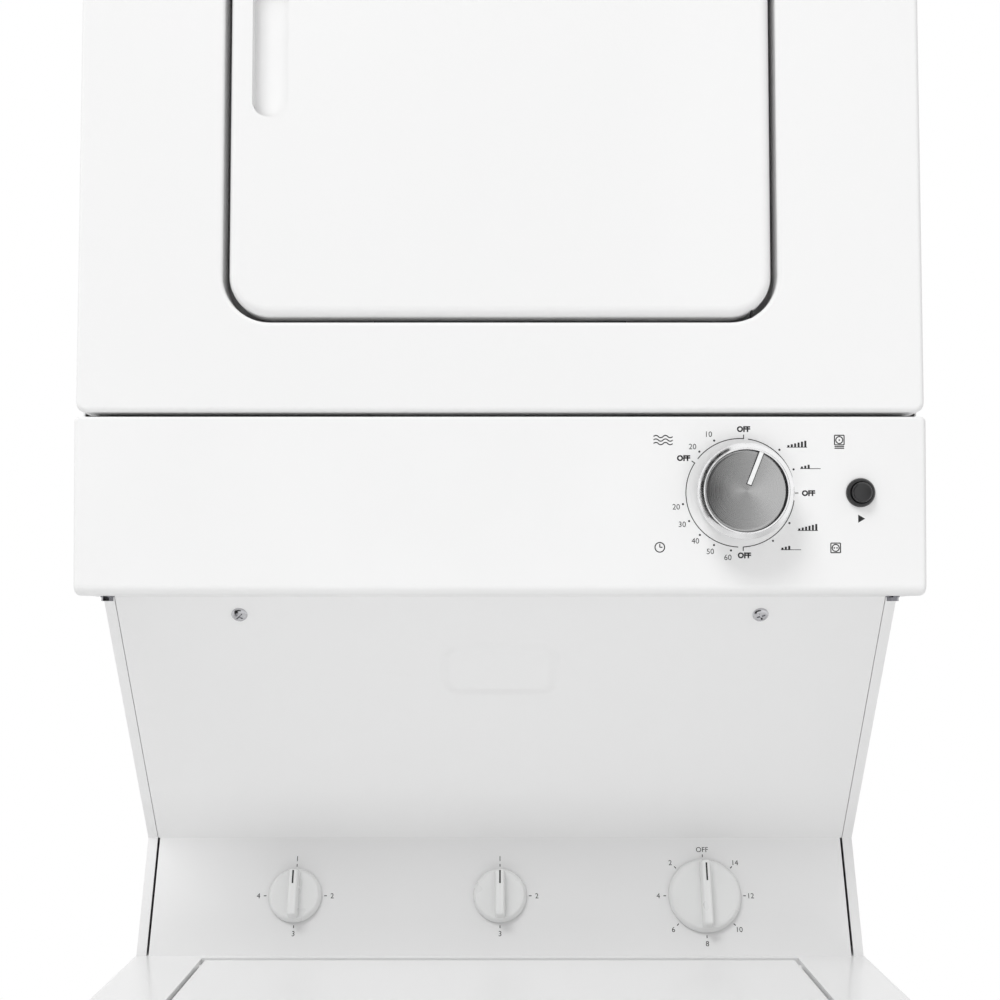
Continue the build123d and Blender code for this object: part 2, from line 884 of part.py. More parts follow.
# Drain outlet: the moulded spigot on the rear panel that takes the drain hose
with BuildPart() as drain_outlet:
    turned(
        fore_aft(drain_x, drain_z, rear_y),
        [
            (drain_bore, -drain_tail),
            (drain_radius, -20),
            (drain_radius, -sheet - drain_flange),
            (drain_radius + drain_flange_lip, -sheet - drain_flange),
            (drain_radius + drain_flange_lip, -sheet),
            (drain_radius, -sheet),
            (drain_radius, 0),
            (drain_radius + port_bead_lip, 0),
            (drain_radius + port_bead_lip, port_bead),
            (drain_radius, port_bead),
            (drain_radius, drain_reach),
            (drain_bore, drain_reach),
        ],
    )
save(drain_outlet.part, "drain_outlet")

# Washer top: a pressed deck with a turned-down rim and a well that the lid lies flush in
deck_half = washer_half + deck_overhang / 2
well_half = lid_half_width + lid_gap
well_front_y = lid_front_y - lid_gap
well_rear_y = lid_rear_y + swing_gap
ledge_z = lid_bottom_z - seat_gap
lid_sweep = hypot(lid_pin_setback, lid_thickness / 2) + hole_gap
hinge_block_foot_z = lid_hinge_z - hinge_block_drop
with BuildPart() as washer_top:
    with BuildSketch(Plane.XY.offset(cabinet_top_z)) as deck_outline:
        with Locations((0, (front_y + back_y) / 2)):
            Rectangle(2 * deck_half, back_y - front_y)
        fillet(deck_outline.vertices().group_by(Axis.Y)[0], cabinet_corner_radius)
    extrude(amount=deck_rim)
    deck_top_edges = washer_top.faces().sort_by(Axis.Z)[-1].edges()
    rear_edge = deck_top_edges.sort_by(Axis.Y)[-1]
    fillet([edge for edge in deck_top_edges if edge is not rear_edge], deck_edge_radius)
    with BuildSketch(Plane.XY.offset(cabinet_top_z)) as deck_inside:
        with Locations((0, (base_front_y + back_y) / 2)):
            Rectangle(2 * base_half, back_y - base_front_y)
        fillet(deck_inside.vertices().group_by(Axis.Y)[0], cabinet_corner_radius - sheet)
        offset(amount=-sheet, mode=Mode.REPLACE)
    extrude(amount=deck_rim - deck_edge_radius, mode=Mode.SUBTRACT)
    with BuildSketch(Plane.XY.offset(deck_z - deck_edge_radius)):
        with Locations((0, (base_front_y + back_y) / 2)):
            Rectangle(2 * (base_half - deck_edge_radius), back_y - base_front_y - 2 * deck_edge_radius)
    extrude(amount=deck_edge_radius - sheet, mode=Mode.SUBTRACT)
    block(
        (-well_half - sheet, well_half + sheet),
        (well_front_y - sheet, well_rear_y + sheet),
        (ledge_z - sheet, deck_z - sheet),
    )
    for side in (-1, 1):
        block(
            sorted((side * well_half, side * (well_half + hinge_block))),
            (lid_hinge_y - hinge_block_half, lid_hinge_y + hinge_block_half),
            (hinge_block_foot_z, deck_z - sheet),
        )
    with BuildSketch(Plane.XY.offset(ledge_z)):
        with Locations((0, (well_front_y + well_rear_y) / 2)):
            RectangleRounded(2 * well_half, well_rear_y - well_front_y, lid_corner_radius)
    extrude(amount=deck_z - ledge_z, mode=Mode.SUBTRACT)
    block(
        (-well_half, well_half),
        (lid_rear_y - 2 * lid_corner_radius, well_rear_y),
        (ledge_z, deck_z),
        Mode.SUBTRACT,
    )
    with BuildSketch(Plane.XY.offset(ledge_z - sheet)):
        with Locations((0, (well_front_y + lid_ledge + well_rear_y) / 2)):
            Rectangle(2 * (well_half - lid_ledge), well_rear_y - well_front_y - lid_ledge)
    extrude(amount=sheet, mode=Mode.SUBTRACT)
    block(
        (-well_half, well_half),
        (lid_hinge_y - lid_sweep, well_rear_y),
        (ledge_z - sheet, ledge_z),
        Mode.SUBTRACT,
    )
    rod(
        (-well_half - hinge_block, lid_hinge_y, lid_hinge_z),
        (1, 0, 0),
        2 * (well_half + hinge_block),
        lid_pin_radius + running_gap,
        Mode.SUBTRACT,
    )
save(washer_top.part, "washer_top")

# Washer lid: a pressed pan with a finger notch in its front edge and a hinge pin at each rear corner
lid_mid_y = (lid_front_y + lid_rear_y) / 2
with BuildPart() as washer_lid:
    with BuildSketch(Plane.XY.offset(lid_bottom_z)) as lid_outline:
        with Locations((0, lid_mid_y)):
            Rectangle(2 * lid_half_width, lid_length)
        fillet(lid_outline.vertices().group_by(Axis.Y)[0], lid_corner_radius)
        with Locations((0, lid_front_y)):
            SlotOverall(lid_grip_width, 2 * lid_grip_depth, mode=Mode.SUBTRACT)
    extrude(amount=lid_thickness)
    fillet(washer_lid.faces().sort_by(Axis.Z)[-1].edges(), lid_edge_radius)
    with BuildSketch(Plane.XY.offset(lid_bottom_z)) as lid_inside:
        with Locations((0, lid_mid_y)):
            Rectangle(2 * lid_half_width, lid_length)
        fillet(lid_inside.vertices().group_by(Axis.Y)[0], lid_corner_radius)
        with Locations((0, lid_front_y)):
            SlotOverall(lid_grip_width, 2 * lid_grip_depth, mode=Mode.SUBTRACT)
        offset(amount=-lid_edge_radius, mode=Mode.REPLACE)
    extrude(amount=lid_thickness - sheet, mode=Mode.SUBTRACT)
    for side in (-1, 1):
        rod(
            (side * (lid_half_width - lid_pin_root), lid_hinge_y, lid_hinge_z),
            (side, 0, 0),
            lid_pin_root + lid_pin_reach,
            lid_pin_radius,
        )
save(washer_lid.part, "washer_lid")

# Washer console: a moulded housing with a leaning face, open below and behind
console_run = recess_knee_y - washer_console_foot_y
console_rise = recess_knee_z - deck_z
console_face = hypot(console_run, console_rise)
washer_knob_axis = (0, -console_rise / console_face, console_run / console_face)
face_middle_y = (washer_console_foot_y + recess_knee_y) / 2
face_middle_z = (deck_z + recess_knee_z) / 2
washer_knob_places = {
    "water_level_knob": (-washer_knob_spread, washer_knob_radius),
    "cycle_knob": (washer_knob_spread, cycle_knob_radius),
    "water_temp_knob": (0, washer_knob_radius),
}
inner_shift = plastic_wall * console_face / console_rise
with BuildPart() as washer_console:
    with BuildSketch(Plane.YZ):
        with BuildLine():
            Polyline(
                (washer_console_foot_y, deck_z),
                (recess_knee_y, recess_knee_z),
                (washer_console_back, recess_knee_z),
                (washer_console_back, deck_z),
                close=True,
            )
        make_face()
    extrude(amount=washer_console_half_width, both=True)
    inner_knee_y = recess_knee_y + inner_shift - plastic_wall * console_run / console_rise
    with BuildSketch(Plane.YZ) as hollow:
        with BuildLine():
            Polyline(
                (washer_console_foot_y + inner_shift, deck_z),
                (inner_knee_y, recess_knee_z - plastic_wall),
                (washer_console_back, recess_knee_z - plastic_wall),
                (washer_console_back, deck_z),
                close=True,
            )
        make_face()
    extrude(amount=washer_console_half_width - plastic_wall, both=True, mode=Mode.SUBTRACT)
    for knob_x, _ in washer_knob_places.values():
        with Locations(Plane(origin=(knob_x, face_middle_y, face_middle_z), z_dir=washer_knob_axis)):
            Cylinder(knob_stem_radius + running_gap, 6 * plastic_wall, mode=Mode.SUBTRACT)
save(washer_console.part, "washer_console")

# Washer knobs: a skirted grip with a raised bar and a stem through the console's face
for knob_name, (knob_x, knob_radius) in washer_knob_places.items():
    knob_base = Plane(
        origin=(knob_x, face_middle_y, face_middle_z),
        x_dir=(1, 0, 0),
        z_dir=washer_knob_axis,
    ).offset(knob_foot_gap)
    with BuildPart() as washer_knob:
        with BuildSketch(knob_base):
            Circle(knob_radius)
        extrude(amount=knob_skirt_height, taper=knob_skirt_taper)
        with BuildSketch(knob_base.offset(knob_skirt_height)) as bar:
            Circle(knob_radius - knob_bar_inset)
            with Locations((knob_radius, 0), (-knob_radius, 0)):
                Circle(knob_radius - knob_bar_width / 2, mode=Mode.SUBTRACT)
        extrude(amount=washer_knob_height - knob_skirt_height, taper=knob_bar_taper)
        with BuildSketch(knob_base):
            Circle(knob_stem_radius)
        extrude(amount=-knob_stem_length)
    save(washer_knob.part, knob_name)

# Side supports: a plate on each side with a narrow front flange and seats for washer and dryer
slope_y = sin(recess_lean)
slope_z = -cos(recess_lean)
panel_normal = (0, slope_z, -slope_y)
slope_middle = (0, (recess_depth_y + recess_knee_y) / 2, (recess_top_z + recess_knee_z) / 2)
slope_length = hypot(recess_knee_y - recess_depth_y, recess_top_z - recess_knee_z)
for side, support_name in ((-1, "support_left"), (1, "support_right")):
    outer_x = side * support_half_width
    with BuildPart() as support:
        with BuildSketch(Plane.YZ.offset(outer_x)) as side_plate:
            with BuildLine():
                Polyline(
                    (recess_depth_y, recess_top_z),
                    (recess_knee_y, recess_knee_z),
                    (washer_console_foot_y, deck_z),
                    (back_y, deck_z),
                    (back_y, recess_top_z),
                    close=True,
                )
            make_face()
        extrude(amount=-side * support_flange)
        with BuildSketch(Plane.YZ.offset(outer_x - side * sheet)) as hollow:
            with BuildLine():
                Polyline(
                    (recess_depth_y + sheet / cos(recess_lean), recess_top_z),
                    (recess_knee_y + sheet / cos(recess_lean), recess_knee_z),
                    (washer_console_foot_y + sheet * console_face / console_rise, deck_z),
                    (back_y, deck_z),
                    (back_y, recess_top_z),
                    close=True,
                )
            make_face()
        extrude(amount=-side * support_flange, mode=Mode.SUBTRACT)
        seat_x = sorted((outer_x - side * support_seat, outer_x))
        seat_front_y = recess_depth_y + panel_return + 2 * sheet
        block(seat_x, (seat_front_y, back_y), (recess_top_z - sheet, recess_top_z))
        block(seat_x, (washer_console_back + hole_gap, back_y), (deck_z, deck_z + sheet))
        block(seat_x, (back_y - sheet, back_y), (deck_z, recess_top_z))
    save(support.part, support_name)

# Recess panel: a sloping sheet with turned-back edges and a soft raised bump in its middle
panel_half = support_half_width - support_flange - panel_seam
panel_plane = Plane(origin=slope_middle, x_dir=(1, 0, 0), z_dir=panel_normal)
bump_rise = slope_length / 2 - (emboss_drop / cos(recess_lean) + emboss_length / 2)
screw_rise = slope_length / 2 - panel_screw_drop / cos(recess_lean)
panel_screw_places = [(-panel_screw_x, screw_rise), (panel_screw_x, screw_rise)]
with BuildPart() as recess_panel:
    with BuildSketch(panel_plane):
        Rectangle(2 * panel_half, slope_length)
    extrude(amount=-sheet)
    with BuildSketch(panel_plane.offset(-sheet)):
        for side in (-1, 1):
            with Locations((side * (panel_half - sheet / 2), 0)):
                Rectangle(sheet, slope_length - 2 * panel_return)
    extrude(amount=-panel_return)
    block(
        (-panel_half, panel_half),
        (recess_depth_y, recess_depth_y + panel_return),
        (recess_top_z - sheet, recess_top_z),
    )
    block(
        (-panel_half, panel_half),
        (recess_depth_y, recess_depth_y + panel_return),
        (recess_top_z, recess_top_z + panel_return),
        Mode.SUBTRACT,
    )
    with BuildSketch(panel_plane):
        with Locations((0, bump_rise)):
            RectangleRounded(2 * emboss_half_width, emboss_length, emboss_corner)
    with BuildSketch(panel_plane.offset(emboss_height)):
        with Locations((0, bump_rise)):
            RectangleRounded(
                2 * (emboss_half_width - emboss_border),
                emboss_length - 1.6 * emboss_border,
                emboss_crown_corner,
            )
    loft()
    with BuildSketch(panel_plane) as screw_holes:
        with Locations(*panel_screw_places):
            Circle(panel_screw_shank + hole_gap)
    extrude(amount=-sheet, mode=Mode.SUBTRACT)
save(recess_panel.part, "recess_panel")

# Panel screws: domed heads with a cross recess
with BuildPart() as panel_screws:
    with BuildSketch(panel_plane):
        with Locations(*panel_screw_places):
            Circle(panel_screw_radius)
    extrude(amount=panel_screw_dome)
    head_rims = panel_screws.faces().sort_by(Axis(panel_plane.origin, panel_plane.z_dir))[-2:]
    fillet([edge for face in head_rims for edge in face.edges()], panel_screw_round)
    with BuildSketch(panel_plane):
        with Locations(*panel_screw_places):
            Circle(panel_screw_shank)
    extrude(amount=-panel_screw_length)
    with BuildSketch(panel_plane.offset(panel_screw_dome)) as cross:
        with Locations(*panel_screw_places):
            Rectangle(cross_span, cross_width)
            Rectangle(cross_width, cross_span)
    extrude(amount=-cross_depth, mode=Mode.SUBTRACT)
save(panel_screws.part, "panel_screws")

# Stand rear panel: closes the back between the supports and takes the water inlet
valve_ports = [(valve_x - valve_pitch / 2, valve_z), (valve_x + valve_pitch / 2, valve_z)]
with BuildPart() as stand_rear_panel:
    block((-support_half_width, support_half_width), (back_y, rear_y), (deck_z, recess_top_z))
    for port_x, port_z in valve_ports:
        rod((port_x, back_y, port_z), (0, 1, 0), sheet, valve_port_radius + hole_gap, Mode.SUBTRACT)
save(stand_rear_panel.part, "stand_rear_panel")

# Inlet valve: a twin body with two solenoids inside and two threaded ports through the panel
with BuildPart() as inlet_valve:
    block(
        (valve_ports[0][0] - valve_margin, valve_ports[1][0] + valve_margin),
        (back_y - valve_depth, back_y),
        (valve_z - valve_height / 2, valve_z + valve_height / 2),
    )
    fillet(inlet_valve.edges().filter_by(Axis.Y), valve_corner)
    for port_x, port_z in valve_ports:
        rod((port_x, back_y, port_z), (0, 1, 0), sheet + valve_port_reach, valve_port_radius)
        rod((port_x, rear_y, port_z), (0, 1, 0), port_bead, valve_port_radius + port_bead_lip)
        rod((port_x, back_y, port_z), (0, 1, 0), sheet + valve_port_reach, valve_port_bore, Mode.SUBTRACT)
        rod((port_x, back_y - valve_depth, port_z), (0, -1, 0), solenoid_length, solenoid_radius)
save(inlet_valve.part, "inlet_valve")

# Dryer floor: a flat pan on the supports' seats, with turned-up sides and the idler's bracket
dryer_inner_half = stack_half - sheet
floor_flange = 14.0
belt_lean_z = -(drum_radius - motor_pulley_radius) / (drum_z - motor_z)
belt_lean_x = sqrt(1 - belt_lean_z**2)
belt_run = sqrt((drum_z - motor_z) ** 2 - (drum_radius - motor_pulley_radius) ** 2)
idler_reach = motor_pulley_radius + belt_thickness + 2 * seat_gap + idler_radius
idler_x = belt_lean_x * idler_reach - belt_lean_z * belt_run / 2
idler_z = motor_z + belt_lean_z * idler_reach + belt_lean_x * belt_run / 2
idler_back_y = motor_pulley_y + idler_width / 2
bracket_sheet = 4.0
bracket_half = 16.0
bracket_y = (idler_back_y + seat_gap, idler_back_y + seat_gap + bracket_sheet)
with BuildPart() as dryer_base:
    block(
        (-dryer_inner_half, dryer_inner_half),
        (console_back_y + panel_seam, back_y),
        (recess_top_z, basin_top_z),
    )
    for side in (-1, 1):
        block(
            sorted((side * (dryer_inner_half - sheet), side * dryer_inner_half)),
            (console_back_y + panel_seam, back_y),
            (basin_top_z, basin_top_z + floor_flange),
        )
    block(
        (idler_x - bracket_half, idler_x + bracket_half),
        bracket_y,
        (basin_top_z, idler_z + bracket_half),
    )
    rod((idler_x, bracket_y[0], idler_z), (0, -1, 0), idler_width + seat_gap, idler_pin_radius)
save(dryer_base.part, "dryer_base")

# Idler pulley: a grooved wheel that leans on the belt's outside
idler_flange = 2.5
with BuildPart() as idler_pulley:
    turned(
        fore_aft(idler_x, idler_z, motor_pulley_y),
        [
            (idler_pin_radius + running_gap, -idler_width / 2),
            (idler_radius, -idler_width / 2),
            (idler_radius, idler_width / 2),
            (idler_radius - 2 * idler_flange, idler_width / 2),
            (idler_radius - 3 * idler_flange, idler_width / 4),
            (2 * idler_pin_radius, idler_width / 4),
            (2 * idler_pin_radius, idler_width / 2),
            (idler_pin_radius + running_gap, idler_width / 2),
        ],
    )
save(idler_pulley.part, "idler_pulley")

# Dryer cabinet: one sheet over the top and both sides, notched for the console
cabinet_height = stack_height - recess_top_z
with BuildPart() as dryer_cabinet:
    with BuildSketch(Plane(origin=(0, back_y, 0), x_dir=(1, 0, 0), z_dir=(0, -1, 0))) as arch:
        with Locations((0, recess_top_z + cabinet_height / 2)):
            Rectangle(stack_width, cabinet_height)
        fillet(arch.vertices().group_by(Axis.Y)[-1], dryer_corner_radius)
        offset(amount=-sheet, mode=Mode.SUBTRACT)
        with Locations((0, recess_top_z)):
            Rectangle(2 * dryer_inner_half, 4 * sheet, mode=Mode.SUBTRACT)
    extrude(amount=back_y - face_back_y)
    block(
        (-stack_half, stack_half),
        (face_back_y, console_back_y),
        (recess_top_z, face_bottom_z),
        Mode.SUBTRACT,
    )
    for side in (-1, 1):
        block(
            sorted((side * (dryer_inner_half - dryer_rear_flange), side * dryer_inner_half)),
            (back_y - sheet, back_y),
            (basin_top_z + floor_flange, stack_height - 2 * dryer_rear_flange),
        )
save(dryer_cabinet.part, "dryer_cabinet")

# Dryer rear panel: a sheet with cooling slots, the exhaust hole and the cord inlet
louvre_width = 110.0
louvre_height = 6.0
louvre_pitch = 22.0
louvre_rows = 7
louvre_x = 190.0
cord_inlet_x = stack_half - cord_inlet_inset
cord_inlet_rise = 53.0
cord_inlet_radius = 14.0
with BuildPart() as dryer_rear_panel:
    block((-stack_half, stack_half), (back_y, rear_y), (recess_top_z, stack_height))
    with BuildSketch(Plane(origin=(0, rear_y, drum_z), x_dir=(1, 0, 0), z_dir=(0, -1, 0))) as louvres:
        for side in (-1, 1):
            with Locations((side * louvre_x, 0)):
                with GridLocations(louvre_width, louvre_pitch, 1, louvre_rows):
                    SlotOverall(louvre_width, louvre_height)
    extrude(amount=sheet, mode=Mode.SUBTRACT)
    rod((exhaust_x, back_y, motor_z), (0, 1, 0), sheet, exhaust_radius + hole_gap, Mode.SUBTRACT)
    rod(
        (cord_inlet_x, back_y, recess_top_z + cord_inlet_rise),
        (0, 1, 0),
        sheet,
        cord_inlet_radius,
        Mode.SUBTRACT,
    )
save(dryer_rear_panel.part, "dryer_rear_panel")

# Upright pins that the door turns on, near its right edge
door_width = door_opening_width - 2 * door_gap
door_height = door_opening_height - 2 * door_gap
door_front_y = dryer_front_y - door_proud
door_back_y = door_front_y + door_depth
door_bottom_z = opening_z - door_height / 2
door_pin_x = door_width / 2 - door_pin_inset
door_pin_y = door_front_y + door_pin_setback
opening_half_height = door_opening_height / 2

# Dryer front panel: a pressed pan with a rounded door opening and a rolled rim round it
rolled_wall = 4.0
rolled_radius = 3.0


def front_plane(y, z):
    """Give a plane that faces the front, with its second axis up."""
    return Plane(origin=(0, y, z), x_dir=(1, 0, 0), z_dir=(0, -1, 0))


face_height = stack_height - face_bottom_z
face_z = (stack_height + face_bottom_z) / 2
with BuildPart() as dryer_front_panel:
    rounded_plate(
        front_plane(dryer_front_y, face_z),
        stack_width,
        face_height,
        dryer_corner_radius,
        -face_flange,
    )
    fillet(dryer_front_panel.faces().sort_by(Axis.Y)[0].edges(), dryer_face_radius)
    rounded_plate(
        front_plane(dryer_front_y + dryer_face_radius, face_z),
        stack_width - 2 * sheet,
        face_height - 2 * sheet,
        dryer_corner_radius - sheet,
        dryer_face_radius - face_flange,
        Mode.SUBTRACT,
    )
    rounded_plate(
        front_plane(dryer_front_y + sheet, face_z),
        stack_width - 2 * dryer_face_radius,
        face_height - 2 * dryer_face_radius,
        dryer_corner_radius - sheet,
        sheet - dryer_face_radius,
        Mode.SUBTRACT,
    )
    rounded_plate(
        front_plane(dryer_front_y + sheet, opening_z),
        door_opening_width + 2 * rolled_wall,
        door_opening_height + 2 * rolled_wall,
        door_opening_radius + rolled_wall,
        sheet - face_flange,
    )
    rounded_plate(
        front_plane(dryer_front_y, opening_z),
        door_opening_width,
        door_opening_height,
        door_opening_radius,
        -face_flange,
        Mode.SUBTRACT,
    )
    front_face = dryer_front_panel.faces().sort_by(Axis.Y)[0]
    fillet(front_face.inner_wires()[0].edges(), rolled_radius)
    for end in (-1, 1):
        rod(
            (door_pin_x, door_pin_y, opening_z + end * (opening_half_height - door_pin_tip)),
            (0, 0, end),
            door_pin_tip + door_pin_start,
            door_pin_radius + running_gap,
            Mode.SUBTRACT,
        )
save(dryer_front_panel.part, "dryer_front_panel")

# Door hinge pins: pressed into the rolled rim above and below the door
with BuildPart() as door_hinges:
    for end in (-1, 1):
        rod(
            (door_pin_x, door_pin_y, opening_z + end * (opening_half_height - door_pin_tip)),
            (0, 0, end),
            door_pin_tip + door_pin_start,
            door_pin_radius,
        )
save(door_hinges.part, "door_hinges")

# Dryer door: a rounded pan with a finger pull sunk into its free edge
door_radius = door_opening_radius - door_gap
pull_x = -door_width / 2 + door_pull_inset + door_pull_width / 2
pull_radius = 12.0
with BuildPart() as dryer_door:
    rounded_plate(front_plane(door_front_y, opening_z), door_width, door_height, door_radius, -door_depth)
    fillet(dryer_door.faces().sort_by(Axis.Y)[0].edges(), door_edge_radius)
    rounded_plate(
        front_plane(door_front_y + door_edge_radius, opening_z),
        door_width - 2 * sheet,
        door_height - 2 * sheet,
        door_radius - sheet,
        door_edge_radius - door_depth,
        Mode.SUBTRACT,
    )
    rounded_plate(
        front_plane(door_front_y + sheet, opening_z),
        door_width - 2 * door_edge_radius,
        door_height - 2 * door_edge_radius,
        door_radius - door_edge_radius,
        sheet - door_edge_radius,
        Mode.SUBTRACT,
    )
    pull_back_y = door_front_y + sheet
    pull_plane = front_plane(pull_back_y, opening_z).shift_origin((pull_x, pull_back_y, opening_z))
    rounded_plate(
        pull_plane,
        door_pull_width + 2 * sheet,
        door_pull_height + 2 * sheet,
        pull_radius + sheet,
        -door_pull_depth,
    )
    rounded_plate(
        pull_plane.offset(sheet),
        door_pull_width,
        door_pull_height,
        pull_radius,
        -door_pull_depth,
        Mode.SUBTRACT,
    )
    for end in (-1, 1):
        rod(
            (door_pin_x, door_pin_y, opening_z + end * (door_height / 2 - door_pin_tip)),
            (0, 0, end),
            door_pin_tip,
            door_pin_radius + panel_seam,
            Mode.SUBTRACT,
        )
save(dryer_door.part, "dryer_door")

# Door liner: a moulded plate on the back of the pan, dished inwards, with a boss for each pin
boss_half = door_pin_inset - door_edge_radius - hole_gap
boss_start = 26.0
boss_length = 20.0
liner_margin = 4.0
liner_back_y = door_back_y + liner_plate
dish_width = throat_width - 3 * seal_width
dish_height = throat_height - 4 * seal_width
with BuildPart() as door_liner:
    rounded_plate(
        front_plane(door_back_y, opening_z),
        door_width - 2 * liner_margin,
        door_height - 2 * liner_margin,
        door_radius - liner_margin,
        -liner_plate,
    )
    with BuildSketch(front_plane(liner_back_y, opening_z)) as dish:
        RectangleRounded(dish_width, dish_height, throat_radius)
    extrude(amount=-liner_dish, taper=liner_dish_taper)
    with BuildSketch(front_plane(door_back_y, opening_z)) as dish_hollow:
        RectangleRounded(
            dish_width - 2 * liner_dish_wall,
            dish_height - 2 * liner_dish_wall,
            throat_radius - liner_dish_wall,
        )
    extrude(amount=-liner_plate - liner_dish + liner_dish_wall, taper=liner_dish_taper, mode=Mode.SUBTRACT)
    for end in (-1, 1):
        boss_z = sorted(
            (
                opening_z + end * (door_height / 2 - boss_start),
                opening_z + end * (door_height / 2 - boss_start - boss_length),
            )
        )
        block(
            (door_pin_x - boss_half, door_pin_x + boss_half),
            (door_front_y + sheet + hole_gap, door_back_y),
            boss_z,
        )
        rod(
            (door_pin_x, door_pin_y, opening_z + end * (opening_half_height - door_pin_tip - panel_seam)),
            (0, 0, end),
            door_pin_tip,
            door_pin_radius + running_gap,
            Mode.SUBTRACT,
        )
save(door_liner.part, "door_liner")

# Door seal: a flat ring on the liner that closes on the rim of the throat
throat_front_y = bulkhead_y - throat_reach
with BuildPart() as door_seal:
    seal_thickness = throat_front_y - seat_gap - liner_back_y
    rounded_plate(
        front_plane(liner_back_y, opening_z),
        throat_width + seal_width,
        throat_height + seal_width,
        throat_radius + seal_width / 2,
        -seal_thickness,
    )
    rounded_plate(
        front_plane(liner_back_y, opening_z),
        throat_width - seal_width,
        throat_height - seal_width,
        throat_radius - seal_width / 2,
        -seal_thickness,
        Mode.SUBTRACT,
    )
save(door_seal.part, "door_seal")

# Dryer console: a moulded shell whose face leans back a little, open behind
face_length = hypot(console_height, console_lean)
face_normal = (0, -console_height / face_length, -console_lean / face_length)
console_foot_y = console_front_y + console_lean


def console_face_y(rise):
    """Give the depth of the console's face at a height above its bottom edge."""
    return console_foot_y - console_lean * rise / console_height


def on_console(x, rise):
    """Give a plane on the console's face, facing out, at a height above its bottom edge."""
    return Plane(
        origin=(x, console_face_y(rise), console_bottom_z + rise),
        x_dir=(1, 0, 0),
        z_dir=face_normal,
    )


def turned_on(face_plane):
    """Give a plane whose second axis points out of a face, for pieces turned about that axis."""
    return Plane(origin=face_plane.origin, x_dir=(1, 0, 0), z_dir=-face_plane.y_dir)


screw_y = console_front_y + console_screw_setback
with BuildPart() as dryer_console:
    with BuildSketch(Plane.YZ):
        with BuildLine():
            Polyline(
                (console_foot_y, console_bottom_z),
                (console_front_y, console_top_z),
                (console_back_y, console_top_z),
                (console_back_y, console_bottom_z),
                close=True,
            )
        make_face()
    extrude(amount=stack_half, both=True)
    level_edges = dryer_console.edges().filter_by(Axis.X).sort_by(Axis.Y)[:2].sort_by(Axis.Z)
    fillet(level_edges[0], console_bottom_radius)
    fillet(dryer_console.edges().filter_by(Axis.X).sort_by(Axis.Y)[0], console_top_radius)
    side_faces = dryer_console.faces().filter_by(Axis.X)
    side_edges = [edge for face in side_faces for edge in face.edges()]
    front_edges = [edge for edge in side_edges if edge.center().Y < console_back_y - 1]
    fillet([edge for edge in front_edges if edge.center().Z < console_top_z - 1], console_side_radius)
    inner_front = console_wall * face_length / console_height
    inner_chamfer = console_bottom_radius - console_wall
    chamfer_rise = console_wall + inner_chamfer
    with BuildSketch(Plane.YZ) as hollow:
        with BuildLine():
            Polyline(
                (console_foot_y + inner_front + inner_chamfer, console_bottom_z + console_wall),
                (console_face_y(chamfer_rise) + inner_front, console_bottom_z + chamfer_rise),
                (console_face_y(console_height - console_wall) + inner_front, console_top_z - console_wall),
                (console_back_y, console_top_z - console_wall),
                (console_back_y, console_bottom_z + console_wall),
                close=True,
            )
        make_face()
    extrude(amount=stack_half - console_wall, both=True, mode=Mode.SUBTRACT)
    block(
        (-stack_half + console_wall, stack_half - console_wall),
        (console_front_y + console_top_flange, console_back_y),
        (console_top_z - console_wall, console_top_z),
        Mode.SUBTRACT,
    )
    for x, rise, radius in (
        (timer_x, timer_rise, knob_stem_radius + running_gap),
        (start_x, timer_rise, start_body_radius + running_gap),
    ):
        with Locations(on_console(x, rise)):
            Cylinder(radius, 4 * console_wall, mode=Mode.SUBTRACT)
    for side in (-1, 1):
        rod(
            (side * console_screw_x, screw_y, console_bottom_z),
            (0, 0, 1),
            console_wall,
            console_screw_shank + hole_gap,
            Mode.SUBTRACT,
        )
save(dryer_console.part, "dryer_console")

# Console screws: flanged hexagon heads under the console's bottom edge
screw_flange = 1.0
with BuildPart() as console_screws:
    for side in (-1, 1):
        place = Plane(origin=(side * console_screw_x, screw_y, console_bottom_z), z_dir=(0, 0, -1))
        with BuildSketch(place) as flange:
            Circle(console_screw_radius)
        extrude(amount=screw_flange)
        with BuildSketch(place.offset(screw_flange)) as hexagon:
            RegularPolygon(console_screw_hex, 6)
        extrude(amount=console_screw_head - screw_flange)
        with BuildSketch(place) as shank:
            Circle(console_screw_shank)
        extrude(amount=-console_screw_length)
save(console_screws.part, "console_screws")

# Timer knob: a waisted grip with a wide front ring, a sunk face and a raised pointer bar
timer_face = on_console(timer_x, timer_rise)
knob_top = timer_knob_height
ring_back = knob_top - timer_knob_ring_depth
ring_bevel = 1.5
knob_stem = 24.0
with BuildPart() as timer_knob:
    turned(
        turned_on(timer_face),
        [
            (0, -knob_stem),
            (knob_stem_radius, -knob_stem),
            (knob_stem_radius, knob_foot_gap),
            (timer_knob_waist_radius, knob_foot_gap),
            (timer_knob_waist_radius, ring_back - timer_knob_ring_depth),
            (timer_knob_ring_radius, ring_back),
            (timer_knob_ring_radius, knob_top - ring_bevel),
            (timer_knob_ring_radius - ring_bevel, knob_top),
            (timer_knob_face_radius, knob_top),
            (timer_knob_face_radius, knob_top - timer_knob_face_recess),
            (0, knob_top - timer_knob_face_recess),
        ],
    )
    with BuildSketch(timer_face.offset(knob_top - timer_knob_face_recess)) as pointer:
        with Locations(Location((0, 0, 0), (0, 0, -pointer_turn))):
            with Locations((0, (pointer_inner + timer_knob_face_radius) / 2)):
                Rectangle(pointer_width, timer_knob_face_radius - pointer_inner + pointer_width / 4)
    extrude(amount=timer_knob_face_recess)
save(timer_knob.part, "timer_knob")

